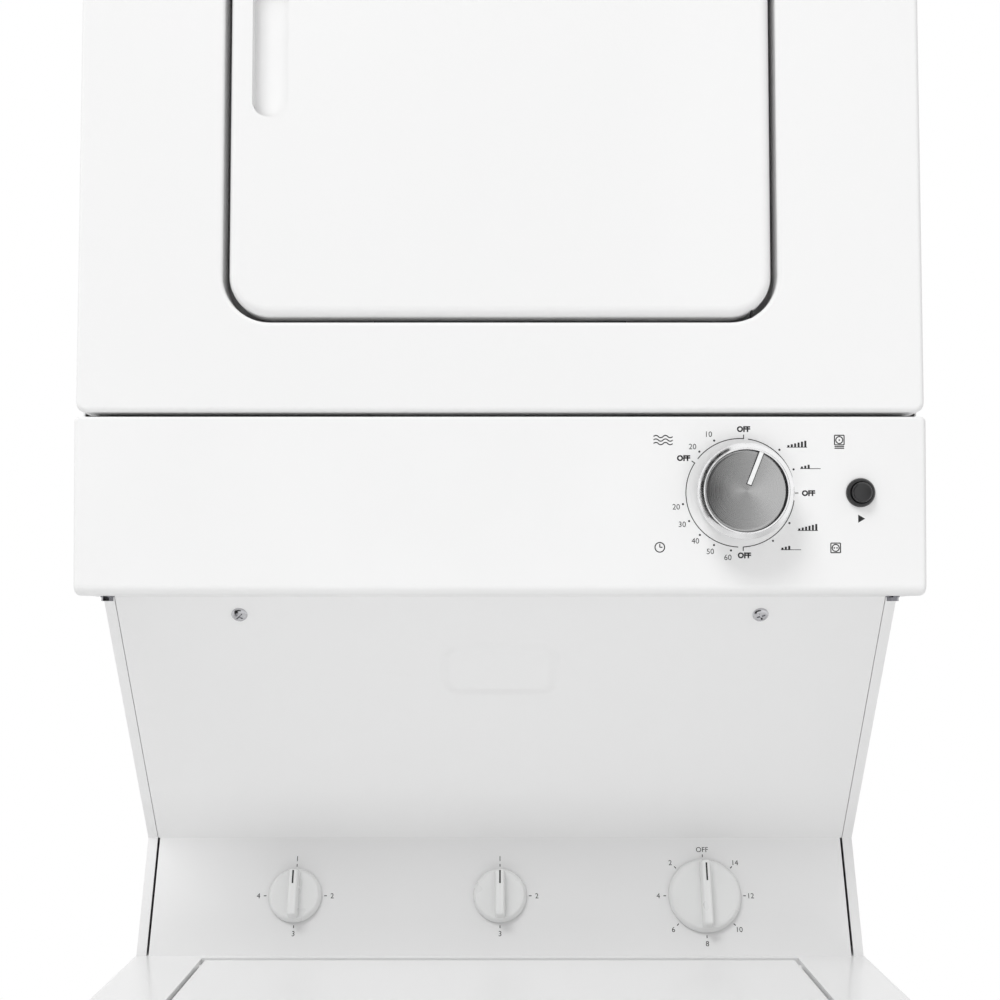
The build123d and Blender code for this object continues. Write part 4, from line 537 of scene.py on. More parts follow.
def pick(piece: Piece, kind: str, wanted: Callable[..., bool]) -> None:
    """Select points, edges or faces of a mesh in edit mode.

    Args:
        piece: the mesh that is in edit mode.
        kind: verts, edges or faces.
        wanted: tells whether one of them is picked.
    """
    mesh = bmesh.from_edit_mesh(piece.data)
    bpy.ops.mesh.select_all(action="DESELECT")
    for element in getattr(mesh, kind):
        element.select = wanted(element)
    mesh.select_flush_mode()
    bmesh.update_edit_mesh(piece.data)


def face_outwards() -> None:
    """Merge doubled points and turn every face of the open mesh outwards."""
    bpy.ops.mesh.select_all(action="SELECT")
    bpy.ops.mesh.remove_doubles(threshold=DOUBLED)
    bpy.ops.mesh.normals_make_consistent(inside=False)


def sloped(up: Vector, origin: Point | Vector) -> Matrix:
    """Give a place on a sloping face, with X to the right, Y up the face and Z out of it.

    Args:
        up: the way up the face.
        origin: where the bench's origin goes.

    Returns:
        The transform from the bench to that place.
    """
    right = Vector((1, 0, 0))
    up = up.normalized()
    place = Matrix((right, up, right.cross(up))).transposed().to_4x4()
    place.translation = origin
    return place


def seat_piece(piece: Piece, place: Matrix) -> None:
    """Carry a piece from the bench to its place and keep that place in its mesh.

    Args:
        piece: the piece, modelled about the world's origin.
        place: the transform from the bench to the object.
    """
    choose(piece)
    piece.matrix_world = place @ piece.matrix_world
    bpy.ops.object.transform_apply(location=True, rotation=True, scale=True)


def smooth(piece: Piece, angle: float = 32.0) -> None:
    """Shade a piece smooth up to an angle in degrees."""
    choose(piece)
    bpy.ops.object.shade_smooth_by_angle(angle=math.radians(angle))


def harden(piece: Piece, kind: str, **settings: float | int | str | Piece) -> None:
    """Add one modifier with its settings and apply it.

    Args:
        piece: the piece that gets it.
        kind: the modifier's type.
        settings: its properties.
    """
    choose(piece)
    modifier = piece.modifiers.new(kind.lower(), kind)
    for name, value in settings.items():
        setattr(modifier, name, value)
    bpy.ops.object.modifier_apply(modifier=modifier.name)


def round_edges(piece: Piece, width: float, segments: int) -> None:
    """Round the sharp edges of a piece in so many steps."""
    harden(piece, "BEVEL", width=width, segments=segments, limit_method="ANGLE")


def carve(piece: Piece, operation: str, tool: Piece) -> None:
    """Cut a piece with a tool by a boolean operation and take the tool away."""
    harden(piece, "BOOLEAN", operation=operation, object=tool, solver="EXACT")
    bpy.data.objects.remove(tool)


def joined(name: str, members: Sequence[Piece]) -> Piece:
    """Join pieces into one mesh under a new name.

    Args:
        name: the new name.
        members: the pieces, which are used up.

    Returns:
        The joined piece.
    """
    clear_selection()
    for member in members:
        member.select_set(True)
    bpy.context.view_layer.objects.active = members[0]
    bpy.ops.object.join()
    return started(name)


def copied(piece: Piece, place: Matrix) -> Piece:
    """Copy a piece with a mesh of its own and seat the copy.

    Args:
        piece: the piece.
        place: the transform from the piece to its copy.

    Returns:
        The copy.
    """
    choose(piece)
    bpy.ops.object.duplicate(linked=False)
    twin = bpy.context.object
    seat_piece(twin, place)
    return twin


def steps(radius: float, height: float, offsets: Steps) -> list[Pair]:
    """Give points of a turned profile by their offsets.

    Args:
        radius: the radius that the offsets start from.
        height: and the height.
        offsets: (outwards, upwards) pairs in millimetres.

    Returns:
        (radius, height) pairs in metres.
    """
    return [(radius + out * MM, height + rise * MM) for out, rise in offsets]


def turned_piece(name: str, profile: Profile, segments: int) -> Piece:
    """Raise a turned shape from a disc by extruding its top and scaling it, step by step.

    Args:
        name: the piece's name.
        profile: (radius, height) pairs in metres, from the foot to the top.
        segments: sides round the axis.

    Returns:
        A closed mesh about the Z axis.
    """
    clear_selection()
    radius, height = profile[0]
    bpy.ops.mesh.primitive_circle_add(
        vertices=segments, radius=radius, fill_type="NGON", location=(0, 0, height))
    piece = settled(name)
    open_mesh()
    bpy.ops.mesh.select_all(action="SELECT")
    for (radius, height), (next_radius, next_height) in pairwise(profile):
        bpy.ops.mesh.extrude_region_move(
            TRANSFORM_OT_translate={"value": (0, 0, next_height - height)})
        ratio = next_radius / radius
        bpy.ops.transform.resize(value=(ratio, ratio, 1), center_override=(0, 0, next_height))
    face_outwards()
    close_mesh()
    return piece


def bar_piece(name: str, size: Point, middle: Point, edge: float, segments: int = 3) -> Piece:
    """Make a bar with rounded edges.

    Args:
        name: the piece's name.
        size: its three sides in metres.
        middle: its middle.
        edge: the radius of its edges.
        segments: steps round each edge.

    Returns:
        The bar's mesh.
    """
    clear_selection()
    bpy.ops.mesh.primitive_cube_add(size=1, location=middle)
    piece = settled(name, size)
    round_edges(piece, edge, segments)
    return piece


def arc_piece(name: str, radius: float, width: float, span: Pair, thickness: float) -> Piece:
    """Make a thin printed arc by spinning a short edge about the Z axis.

    Args:
        name: the piece's name.
        radius: the arc's middle radius.
        width: the line's width.
        span: where it starts and ends, in degrees clockwise from +Y.
        thickness: the ink's height.

    Returns:
        The arc's closed mesh, standing on Z = 0.
    """
    degrees_per_step = 2.0
    start, end = span
    clear_selection()
    bpy.ops.mesh.primitive_plane_add(size=1, location=(0, radius, 0))
    piece = settled(name, (width, width, 1))
    open_mesh("VERT")
    pick(piece, "verts", lambda vertex: vertex.co.x < 0)
    bpy.ops.mesh.delete(type="VERT")
    pick(piece, "verts", lambda vertex: True)
    bpy.ops.transform.translate(value=(-width / 2, 0, 0))
    bpy.ops.transform.rotate(
        value=math.radians(start), orient_axis="Z", center_override=(0, 0, 0))
    bpy.ops.mesh.spin(
        steps=max(3, round(abs(end - start) / degrees_per_step)), angle=math.radians(end - start),
        center=(0, 0, 0), axis=(0, 0, 1))
    bpy.ops.mesh.select_all(action="SELECT")
    bpy.ops.mesh.remove_doubles(threshold=DOUBLED)
    close_mesh()
    return inked(piece, thickness)


def inked(piece: Piece, thickness: float) -> Piece:
    """Give a flat print its ink thickness, upwards from Z = 0.

    Args:
        piece: the flat mesh.
        thickness: the ink's height.

    Returns:
        The same piece.
    """
    choose(piece)
    open_mesh()
    bpy.ops.mesh.select_all(action="SELECT")
    bpy.ops.mesh.extrude_region_move(TRANSFORM_OT_translate={"value": (0, 0, thickness)})
    face_outwards()
    close_mesh()
    return piece


def dot_piece(name: str, radius: float, middle: Pair, thickness: float, sides: int = 20) -> Piece:
    """Make a printed dot, or with three sides a printed triangle.

    Args:
        name: the piece's name.
        radius: the dot's radius.
        middle: its middle in the print's plane.
        thickness: the ink's height.
        sides: how many sides it has.

    Returns:
        The dot's mesh, standing on Z = 0.
    """
    clear_selection()
    bpy.ops.mesh.primitive_circle_add(
        vertices=sides, radius=radius, fill_type="NGON", location=(*middle, 0))
    return inked(settled(name), thickness)


def stroke_piece(name: str, start: Pair, end: Pair, width: float, thickness: float) -> Piece:
    """Make a straight printed stroke between two points of the print's plane.

    Args:
        name: the piece's name.
        start: where it starts.
        end: where it ends.
        width: the stroke's width.
        thickness: the ink's height.

    Returns:
        The stroke's mesh, standing on Z = 0.
    """
    along = Vector(end) - Vector(start)
    middle = (Vector(end) + Vector(start)) / 2
    clear_selection()
    bpy.ops.mesh.primitive_plane_add(size=1)
    piece = inked(settled(name, (along.length, width, 1)), thickness)
    turn = Matrix.Rotation(math.atan2(along.y, along.x), 4, "Z")
    seat_piece(piece, Matrix.Translation((*middle, 0)) @ turn)
    return piece


def text_piece(name: str, words: str, height: float, middle: Pair, thickness: float,
               bold: float = 0.0) -> Piece:
    """Print numerals or a plain word as a thin mesh.

    Args:
        name: the piece's name.
        words: what is printed.
        height: the height of its capitals in metres.
        middle: the middle of the print in its plane.
        thickness: the ink's height.
        bold: how far each outline is swollen, in metres.

    Returns:
        The print's mesh, standing on Z = 0.
    """
    clear_selection()
    bpy.ops.object.text_add()
    text = bpy.context.object.data
    text.body = words
    text.align_x = "CENTER"
    text.align_y = "CENTER"
    text.size = height / CAP_SHARE
    text.offset = bold
    text.resolution_u = 3
    bpy.ops.object.convert(target="MESH")
    piece = started(name)
    low, high = (Vector(map(end, *(vertex.co for vertex in piece.data.vertices))) for end in (min, max))
    inked(piece, thickness)
    seat_piece(piece, Matrix.Translation(Vector((*middle, 0)) - (low + high) / 2))
    return piece


def coat(piece: Piece, finish: Finish) -> None:
    """Dress a piece or a frame node in one finish all over."""
    piece.data.materials.clear()
    piece.data.materials.append(finish.material())


def fit(piece: Piece, body: Body, finish: Finish, slot: Slot, *nodes: str) -> None:
    """Dress a new piece and fit it to its body.

    Args:
        piece: the finished mesh in its place.
        body: the body that it moves with.
        finish: its finish.
        slot: the record's slot for that finish; not used.
        nodes: the frame nodes that it stands for.
    """
    coat(piece, finish)
    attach(piece, body.value)
    if nodes:
        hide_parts(*nodes)
    log.info("%s rides on %s", piece.name, body.value)


WHITE: Colour = (0.873, 0.873, 0.873)
DARK_DRIFT = Grain(6.0, 2.0, (0.8, 1.1))
MEDIUM_GRAIN = Skin(1400.0, 2.0, 0.00005)
COARSE_GRAIN = Skin(1400.0, 2.0, 0.00008)
SEAL_BLOOM = Grain(35.0, 4.0, (1.0, 1.3), (0.35, 0.8))
ENAMEL = EnamelSheet("enamel_sheet", WHITE, 0.30)
CONSOLE_PLASTIC = Moulding("console_plastic", WHITE, 0.34)
LINER_PLASTIC = Moulding("liner_plastic", (0.83, 0.835, 0.83), 0.42, skin=MEDIUM_GRAIN)
CONTROL_PLASTIC = Moulding("control_plastic", (0.85, 0.855, 0.85), 0.30, coat=0.2)
TUB_PLASTIC = Moulding("tub_plastic", (0.72, 0.72, 0.69), 0.55, skin=COARSE_GRAIN)
AGITATOR_PLASTIC = Moulding("agitator_plastic", (0.80, 0.815, 0.83), 0.38, coat=0.15)
DUCT_PLASTIC = Moulding("duct_plastic", (0.30, 0.31, 0.32), 0.55, skin=COARSE_GRAIN)
BUTTON_PLASTIC = Moulding("button_plastic", (0.012, 0.012, 0.013), 0.30, clouds=DARK_DRIFT, coat=0.25)
# near-black plastic for painted shade in the timer knob's gaps
GROOVE_SHADE_PAINT = Moulding("groove_painted_shade", (0.03, 0.03, 0.032), 0.6, clouds=DARK_DRIFT)
POINTER_PLASTIC = Moulding("pointer_plastic", (0.88, 0.885, 0.885), 0.28, coat=0.3)
RING_PLATING = PlatedMetal("ring_plating", (0.93, 0.93, 0.935), 0.16)
SCREW_PLATING = PlatedMetal("screw_plating", (0.62, 0.62, 0.64), 0.14)
HEX_PLATING = PlatedMetal("hex_plating", (0.24, 0.24, 0.26), 0.2)
PIN_STEEL = PlatedMetal("pin_steel", (0.06, 0.06, 0.062), 0.4)
ZINC = ZincSheet("zinc_sheet", (0.60, 0.61, 0.62), 0.42)
PORCELAIN = SpeckledPorcelain("speckled_porcelain", (0.78, 0.79, 0.80), 0.22)
PIERCED_PORCELAIN = replace(
    PORCELAIN, name="pierced_porcelain", hole_rows=32.0, hole_columns=44.0, axis_y=-100.0 * MM)
TYRE_RUBBER = Rubber("foot_rubber", (0.022, 0.022, 0.023), 0.75)
SEAL_RUBBER = Rubber("seal_rubber_skin", (0.16, 0.16, 0.165), 0.7, clouds=SEAL_BLOOM)
MOTOR_PAINT = Casting("motor_paint_skin", (0.055, 0.058, 0.065), 0.45, metallic=0.0)
CAST_ALLOY = Casting("cast_alloy_skin", (0.50, 0.51, 0.52), 0.5)
INK = Ink("dial_ink", (0.012, 0.012, 0.013), 0.6)


@dataclass
class Shell:
    """The frame's own nodes, each listed under its finish."""

    coats: dict[Finish, tuple[str, ...]] = field(default_factory=lambda: {
        ENAMEL: (
            "washer_cabinet", "washer_top", "washer_lid", "support_left", "support_right", "recess_panel",
            "dryer_cabinet", "dryer_front_panel", "dryer_door", "front_bulkhead"),
        CONSOLE_PLASTIC: ("washer_console", "dryer_console"),
        LINER_PLASTIC: ("door_liner",),
        CONTROL_PLASTIC: ("water_level_knob", "water_temp_knob", "cycle_knob"),
        RING_PLATING: ("timer_knob",),
        BUTTON_PLASTIC: ("start_switch", "start_button"),
        SCREW_PLATING: ("panel_screws",),
        HEX_PLATING: ("console_screws",),
        PIN_STEEL: ("door_hinges",),
        ZINC: (
            "washer_rear_panel", "washer_base", "suspension_rods", "washer_motor_pulley",
            "stand_rear_panel", "dryer_base", "dryer_rear_panel", "exhaust_duct", "dryer_motor_pulley",
            "rear_bulkhead", "heater_box"),
        TUB_PLASTIC: ("outer_tub", "tub_ring"),
        PIERCED_PORCELAIN: ("wash_basket",),
        PORCELAIN: ("dryer_drum",),
        AGITATOR_PLASTIC: ("balance_ring", "agitator", "agitator_cap", "drum_baffles"),
        TYRE_RUBBER: (
            "foot_front_left", "foot_front_right", "foot_rear_left", "foot_rear_right", "washer_belt",
            "drum_belt"),
        SEAL_RUBBER: ("door_seal",),
        MOTOR_PAINT: ("washer_motor", "dryer_motor"),
        CAST_ALLOY: ("gearcase", "washer_drive_pulley"),
        DUCT_PLASTIC: (
            "drain_pump", "drain_outlet", "inlet_valve", "idler_pulley", "dryer_timer", "lint_screen",
            "blower_housing", "blower_wheel"),
    })

    def dress(self) -> None:
        """Coat every node of the frame."""
        for finish, names in self.coats.items():
            for name in names:
                coat(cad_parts[name], finish)
        log.info("%d nodes dressed", sum(map(len, self.coats.values())))


@dataclass
class ConsoleFace:
    """The dryer console's leaning face, which carries the dial, the button and their print."""

    top_y: float = -180.0 * MM
    lean: float = 4.4 * MM
    low: Vector = field(default_factory=lambda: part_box("dryer_console")[0])
    high: Vector = field(default_factory=lambda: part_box("dryer_console")[1])

    def seat(self, across: float, rise: float) -> Matrix:
        """Give the place on the face whose Z axis points out and whose Y axis runs up the face.

        Args:
            across: how far right of the middle.
            rise: the height above the console's lower edge.

        Returns:
            The transform from the bench to that place.
        """
        height = self.high.z - self.low.z
        back = self.top_y + self.lean * (1 - rise / height)
        return sloped(Vector((0, -self.lean, height)), (across, back, self.low.z + rise))


@dataclass
class TimerDial:
    """The timer knob: a plated ring on a waisted skirt, a brushed face and a white pointer."""

    face: ConsoleFace
    across: float = 170.3 * MM
    rise: float = 72.8 * MM
    foot_gap: float = 1.0 * MM
    height: float = 27.0 * MM
    ring_radius: float = 33.5 * MM
    face_radius: float = 28.1 * MM
    waist_radius: float = 28.6 * MM
    foot_radius: float = 31.0 * MM
    ring_depth: float = 9.0 * MM
    waist_drop: float = 4.0 * MM
    face_drop: float = 0.8 * MM
    face_sag: float = 1.2 * MM
    face_tint: Colour = (0.49, 0.49, 0.49)
    face_roughness: float = 0.28
    groove: float = 0.55 * MM
    well_depth: float = 1.6 * MM
    well_ledge: float = 1.0 * MM
    gap_drop: float = 0.3 * MM
    gap_play: float = 0.02 * MM
    gap_depth: float = 1.2 * MM
    gap_ledge: float = 0.8 * MM
    pointer_turn: float = 21.5
    pointer_width: float = 3.0 * MM
    pointer_inner: float = 4.7 * MM
    pointer_height: float = 0.75 * MM
    pointer_edge: float = 0.4 * MM
    # painted shade: the near-black bar that stands out round the pointer
    shade_spread: float = 0.5 * MM
    shade_height: float = 0.06 * MM
    sides: int = 128
    foot_steps: ClassVar[Steps] = ((0.0, 0.0), (0.0, 1.5))
    under_steps: ClassVar[Steps] = ((-0.6, 0.0), (0.0, 0.8))
    rim_steps: ClassVar[Steps] = (
        (0.0, -3.2), (-0.3, -2.75), (-3.4, -0.35), (-3.55, -0.4), (-3.65, -0.1), (-3.8, 0.0))
    lip_steps: ClassVar[Steps] = ((0.1, 0.0), (0.0, -0.15))
    disc_steps: ClassVar[Steps] = ((0.0, -1.2), (0.0, -0.15))
    disc_shares: ClassVar[tuple[float, ...]] = (0.99, 0.92, 0.84, 0.75, 0.65, 0.54, 0.42, 0.29, 0.15, 0.015)

    @property
    def seat(self) -> Matrix:
        """The knob's place on the console."""
        return self.face.seat(self.across, self.rise)

    @property
    def disc_top(self) -> float:
        """The height of the brushed face's middle."""
        return self.height - self.face_drop

    @property
    def disc_edge(self) -> float:
        """The height of the brushed face's edge."""
        return self.disc_top - self.face_sag

    def ring(self) -> Piece:
        """Turn the skirt, the waist and the ring with its inner lip.

        Returns:
            Its mesh about the bench's Z axis.
        """
        under = self.height - self.ring_depth
        lip = self.face_radius + self.groove
        well = self.disc_edge - self.well_depth
        profile = [
            *steps(self.foot_radius, self.foot_gap, self.foot_steps),
            (self.waist_radius, under - self.waist_drop),
            *steps(self.ring_radius, under, self.under_steps),
            *steps(self.ring_radius, self.height, self.rim_steps),
            *steps(lip, self.height, self.lip_steps),
            (lip, well),
            (self.face_radius - self.well_ledge, well),
        ]
        return turned_piece("timer_ring", profile, self.sides)

    def disc(self) -> Piece:
        """Turn the brushed face, slightly domed, with rings that carry the brushing.

        Returns:
            Its mesh about the bench's Z axis.
        """
        profile = steps(self.face_radius, self.disc_edge, self.disc_steps)
        for share in self.disc_shares:
            profile.append((self.face_radius * share, self.disc_top - self.face_sag * share ** 2))
        piece = turned_piece("timer_face", profile, self.sides)
        brush_round(piece)
        return piece

    def painted_gap_shade(self) -> Piece:
        """Turn a near-black ring in the gap round the face: painted shade for the gap's thin dark line.

        Returns:
            Its mesh about the bench's Z axis.
        """
        top = self.disc_edge - self.gap_drop
        edge = self.face_radius + self.groove - self.gap_play
        profile = [(edge, top - self.gap_depth), (edge, top), (self.face_radius - self.gap_ledge, top)]
        return turned_piece("timer_gap_shade", profile, self.sides)

    def bar(self, name: str, spread: float, height: float) -> Piece:
        """Make the pointer's bar, or the wider near-black bar under it, painted shade round the pointer.

        Args:
            name: the piece's name.
            spread: how far the bar stands out on each side.
            height: how high its top is above the face.

        Returns:
            The bar, turned to where the pointer rests.
        """
        length = self.face_radius + self.groove - self.pointer_inner + spread
        middle = self.pointer_inner - spread + length / 2
        piece = bar_piece(
            name, (self.pointer_width + 2 * spread, length, height + self.face_sag),
            (0, middle, self.disc_top + (height - self.face_sag) / 2), min(self.pointer_edge, height / 2))
        seat_piece(piece, Matrix.Rotation(-math.radians(self.pointer_turn), 4, "Z"))
        return piece

    def build(self) -> None:
        """Build the knob's pieces and fit them."""
        spun_face = SpunDisc(
            "spun_face", self.face_tint, self.face_roughness, middle=self.seat.translation[:])
        for piece, finish, slot, *nodes in (
            (self.ring(), RING_PLATING, Slot.SILVER, "timer_knob"),
            (self.disc(), spun_face, Slot.SILVER),
            # the near-black ring and bar below are painted shade in the gaps round the face and the pointer
            (self.painted_gap_shade(), GROOVE_SHADE_PAINT, Slot.BLACK_PLASTIC),
            (self.bar("timer_pointer_shade", self.shade_spread, self.shade_height),
             GROOVE_SHADE_PAINT, Slot.BLACK_PLASTIC),
            (self.bar("timer_pointer", 0.0, self.pointer_height), POINTER_PLASTIC, Slot.WHITE_PLASTIC),
        ):
            seat_piece(piece, self.seat)
            smooth(piece)
            fit(piece, Body.TIMER, finish, slot, *nodes)


def brush_round(piece: Piece) -> None:
    """Write a map on a turned piece whose first axis runs round it, for a brushed finish.

    Args:
        piece: a piece turned about the Z axis.
    """
    mesh = piece.data
    layer = mesh.uv_layers.active or mesh.uv_layers.new(name="brushing")
    for polygon in mesh.polygons:
        middle = math.atan2(polygon.center.y, polygon.center.x)
        for index in polygon.loop_indices:
            place = mesh.vertices[mesh.loops[index].vertex_index].co
            turn = math.atan2(place.y, place.x) - middle
            turn = (turn + math.pi) % math.tau - math.pi
            layer.data[index].uv = ((middle + turn) / math.tau, place.xy.length)


@dataclass
class StartButton:
    """The start switch: a black bezel on the console and a button that is pushed in."""

    face: ConsoleFace
    across: float = 255.5 * MM
    rise: float = 72.8 * MM
    bezel_radius: float = 10.3 * MM
    bezel_height: float = 3.2 * MM
    bezel_foot: float = 0.05 * MM
    button_radius: float = 7.2 * MM
    button_height: float = 7.0 * MM
    body_radius: float = 8.4 * MM
    well_depth: float = 4.5 * MM
    well_floor: float = 0.6 * MM
    sink: float = -0.5 * MM
    clearance: float = 0.3 * MM
    sides: int = 64
    rim_steps: ClassVar[Steps] = ((0.0, -1.76), (-0.35, -0.8), (-1.1, 0.0))
    well_steps: ClassVar[Steps] = ((0.5, 0.0), (0.0, -0.4))
    cap_steps: ClassVar[Steps] = (
        (0.0, -1.4), (-0.4, -0.5), (-1.1, 0.0), (-1.9, -0.05), (-3.6, -0.3), (-6.7, -0.4))

    def bezel(self) -> Piece:
        """Turn the bezel with a rolled edge and a well for the button.

        Returns:
            Its mesh about the bench's Z axis.
        """
        well = self.button_radius + self.clearance
        profile = [
            (self.body_radius, -self.well_depth - self.well_floor),
            (self.body_radius, self.bezel_foot),
            (self.bezel_radius, self.bezel_foot),
            *steps(self.bezel_radius, self.bezel_height, self.rim_steps),
            *steps(well, self.bezel_height, self.well_steps),
            (well, -self.well_depth),
        ]
        return turned_piece("start_bezel", profile, self.sides)

    def cap(self) -> Piece:
        """Turn the button with a rounded rim and a slightly dished top."""
        rim = steps(self.button_radius, self.button_height, self.cap_steps)
        return turned_piece("start_cap", [(self.button_radius, self.sink), *rim], self.sides)

    def build(self) -> None:
        """Build the bezel and the button and fit them."""
        for piece, body, node in (
            (self.bezel(), Body.STACK, "start_switch"),
            (self.cap(), Body.START, "start_button"),
        ):
            seat_piece(piece, self.face.seat(self.across, self.rise))
            smooth(piece)
            fit(piece, body, BUTTON_PLASTIC, Slot.BLACK_PLASTIC, node)


class Mark(Enum):
    """What stands beside a place on the dial."""

    NUMBER = "number"
    OFF = "off"
    LEVEL = "level"


@dataclass(frozen=True)
class DialMark:
    """One mark of the timer's print, placed from the dial's middle in millimetres."""

    kind: Mark
    words: str
    across: float
    up: float
    dot: Pair | None = None


@dataclass
class DialPrint:
    """The timer's printed ring with its gaps, ticks, dots, numerals and plain symbols.

    Places are in millimetres from the dial's middle, and turns in degrees clockwise from its top.
    """

    face: ConsoleFace
    dial: TimerDial
    start: StartButton
    ring_radius: float = 38.5 * MM
    line: float = 0.62 * MM
    ink: float = 0.06 * MM
    dot_radius: float = 0.75 * MM
    number_height: float = 3.9 * MM
    off_height: float = 3.7 * MM
    bold: float = 0.26 * MM
    symbol_size: float = 6.8 * MM
    symbol_line: float = 0.75 * MM
    circle_share: float = 0.72
    heat_radius: float = 0.55 * MM
    heat_pitch: float = 1.9 * MM
    under_pitch: float = 1.2 * MM
    wave_radius: float = 2.2 * MM
    wave_spread: float = 50.0
    wave_bends: int = 4
    wave_pitch: float = 2.5 * MM
    bar_count: int = 6
    bar_pitch: float = 2.4 * MM
    bar_width: float = 1.45 * MM
    bar_foot: float = 1.9 * MM
    bar_line: float = 0.45 * MM
    bar_first: float = 1.5 * MM
    bar_rise: float = 0.62 * MM
    sign_radius: float = 3.3 * MM
    sign_drop: float = 18.4 * MM
    full_turn: ClassVar[Pair] = (0.0, 360.0)
    arcs: ClassVar[tuple[Pair, ...]] = ((-51.3, 3.8), (-177.7, -56.9), (98.1, 177.2), (8.5, 73.6))
    ticks: ClassVar[tuple[tuple[Pair, Pair], ...]] = (
        ((2.5, 38.3), (2.5, 41.2)),
        ((-34.4, 22.6), (-31.9, 20.9)),
        ((2.0, -38.4), (2.0, -41.3)),
        ((38.6, -0.2), (41.2, -0.2)),
    )
    air_place: ClassVar[Pair] = (-54.6, 37.4)
    gentle_place: ClassVar[Pair] = (70.4, 37.4)
    clock_place: ClassVar[Pair] = (-57.1, -38.7)
    warm_place: ClassVar[Pair] = (67.5, -39.1)
    hand_shares: ClassVar[tuple[Pair, ...]] = ((0.0, 0.7), (0.55, 0.0))
    marks: ClassVar[tuple[DialMark, ...]] = (
        DialMark(Mark.OFF, "OFF", 2.5, 45.2),
        DialMark(Mark.NUMBER, "10", -22.0, 41.6, (-18.4, 37.0)),
        DialMark(Mark.NUMBER, "20", -33.7, 32.8, (-28.9, 29.2)),
        DialMark(Mark.OFF, "OFF", -40.1, 24.6),
        DialMark(Mark.NUMBER, "20", -45.4, -10.0, (-40.6, -8.1)),
        DialMark(Mark.NUMBER, "30", -41.1, -22.4, (-36.3, -20.1)),
        DialMark(Mark.NUMBER, "40", -31.9, -34.1, (-28.7, -29.9)),
        DialMark(Mark.NUMBER, "50", -21.3, -41.6, (-18.7, -37.1)),
        DialMark(Mark.NUMBER, "60", -8.9, -45.8, (-6.7, -40.9)),
        DialMark(Mark.OFF, "OFF", 2.8, -44.4),
        DialMark(Mark.LEVEL, "3", 31.0, -38.5, (23.1, -34.1)),
        DialMark(Mark.LEVEL, "6", 43.0, -24.9, (34.8, -21.5)),
        DialMark(Mark.OFF, "OFF", 48.4, -0.3),
        DialMark(Mark.LEVEL, "3", 45.0, 19.0, (37.9, 16.6)),
        DialMark(Mark.LEVEL, "6", 35.5, 34.2, (27.9, 30.5)),
    )

    @staticmethod
    def metres(place: Pair) -> Pair:
        """Turn a place in millimetres into metres."""
        return tuple(value * MM for value in place)

    def lines(self) -> list[Piece]:
        """Print the ring's arcs and the ticks at its gaps.

        Returns:
            Their meshes.
        """
        made = [arc_piece("arc", self.ring_radius, self.line, span, self.ink) for span in self.arcs]
        for ends in self.ticks:
            made.append(stroke_piece("tick", *map(self.metres, ends), self.line, self.ink))
        return made

    def words(self) -> list[Piece]:
        """Print the numerals, the plain OFF marks, the level bars and the dots.

        Returns:
            Their meshes.
        """
        made = []
        for mark in self.marks:
            middle = self.metres((mark.across, mark.up))
            if mark.kind is Mark.NUMBER:
                made.append(text_piece("number", mark.words, self.number_height, middle, self.ink))
            elif mark.kind is Mark.OFF:
                made.append(text_piece("off", mark.words, self.off_height, middle, self.ink, self.bold))
            else:
                made += self.level(int(mark.words), middle)
            if mark.dot:
                made.append(dot_piece("dot", self.dot_radius, self.metres(mark.dot), self.ink))
        return made

    def level(self, filled: int, middle: Pair) -> list[Piece]:
        """Print rising bars on a base line that has room for all of them.

        Args:
            filled: how many bars stand on the line.
            middle: the mark's middle, a little above the foot of its second bar.

        Returns:
            The bars' meshes.
        """
        foot = middle[1] - self.bar_foot
        left = middle[0] - self.bar_pitch
        right = left + self.bar_pitch * self.bar_count
        made = [stroke_piece("base_line", (left, foot), (right, foot), self.bar_line, self.ink)]
        for index in range(filled):
            across = left + self.bar_pitch * (index + 0.5)
            top = foot + self.bar_first + self.bar_rise * index
            made.append(stroke_piece("bar", (across, foot), (across, top), self.bar_width, self.ink))
        return made

    def ring(self, name: str, radius: float, middle: Pair) -> Piece:
        """Print a whole ring of a symbol.

        Args:
            name: the piece's name.
            radius: the ring's middle radius.
            middle: its middle.

        Returns:
            The ring's mesh.
        """
        piece = arc_piece(name, radius, self.symbol_line, self.full_turn, self.ink)
        seat_piece(piece, Matrix.Translation((*middle, 0)))
        return piece

    def drum_symbol(self, place: Pair, dots: int, underlines: int) -> list[Piece]:
        """Print a plain tumble sign: a square, a circle in it and dots for the heat.

        Args:
            place: the sign's middle.
            dots: heat dots in the circle.
            underlines: strokes under the square for a gentler turn.

        Returns:
            The sign's meshes.
        """
        across, up = self.metres(place)
        half = self.symbol_size / 2
        left, right, low, high = across - half, across + half, up - half, up + half
        corners = [(left, low), (right, low), (right, high), (left, high), (left, low)]
        strokes = [("side", *ends) for ends in pairwise(corners)]
        for index in range(underlines):
            drop = low - self.under_pitch * (index + 1)
            strokes.append(("under", (left, drop), (right, drop)))
        made = [stroke_piece(*stroke, self.symbol_line, self.ink) for stroke in strokes]
        made.append(self.ring("circle", half * self.circle_share, (across, up)))
        for index in range(dots):
            shift = (index - (dots - 1) / 2) * self.heat_pitch
            made.append(dot_piece("heat", self.heat_radius, (across + shift, up), self.ink))
        return made

    def clock_symbol(self, place: Pair) -> list[Piece]:
        """Print a plain clock sign: a ring with two hands.

        Args:
            place: the sign's middle.

        Returns:
            The sign's meshes.
        """
        across, up = middle = self.metres(place)
        radius = self.symbol_size / 2
        made = [self.ring("clock", radius, middle)]
        for right, above in self.hand_shares:
            end = (across + radius * right, up + radius * above)
            made.append(stroke_piece("hand", middle, end, self.symbol_line, self.ink))
        return made

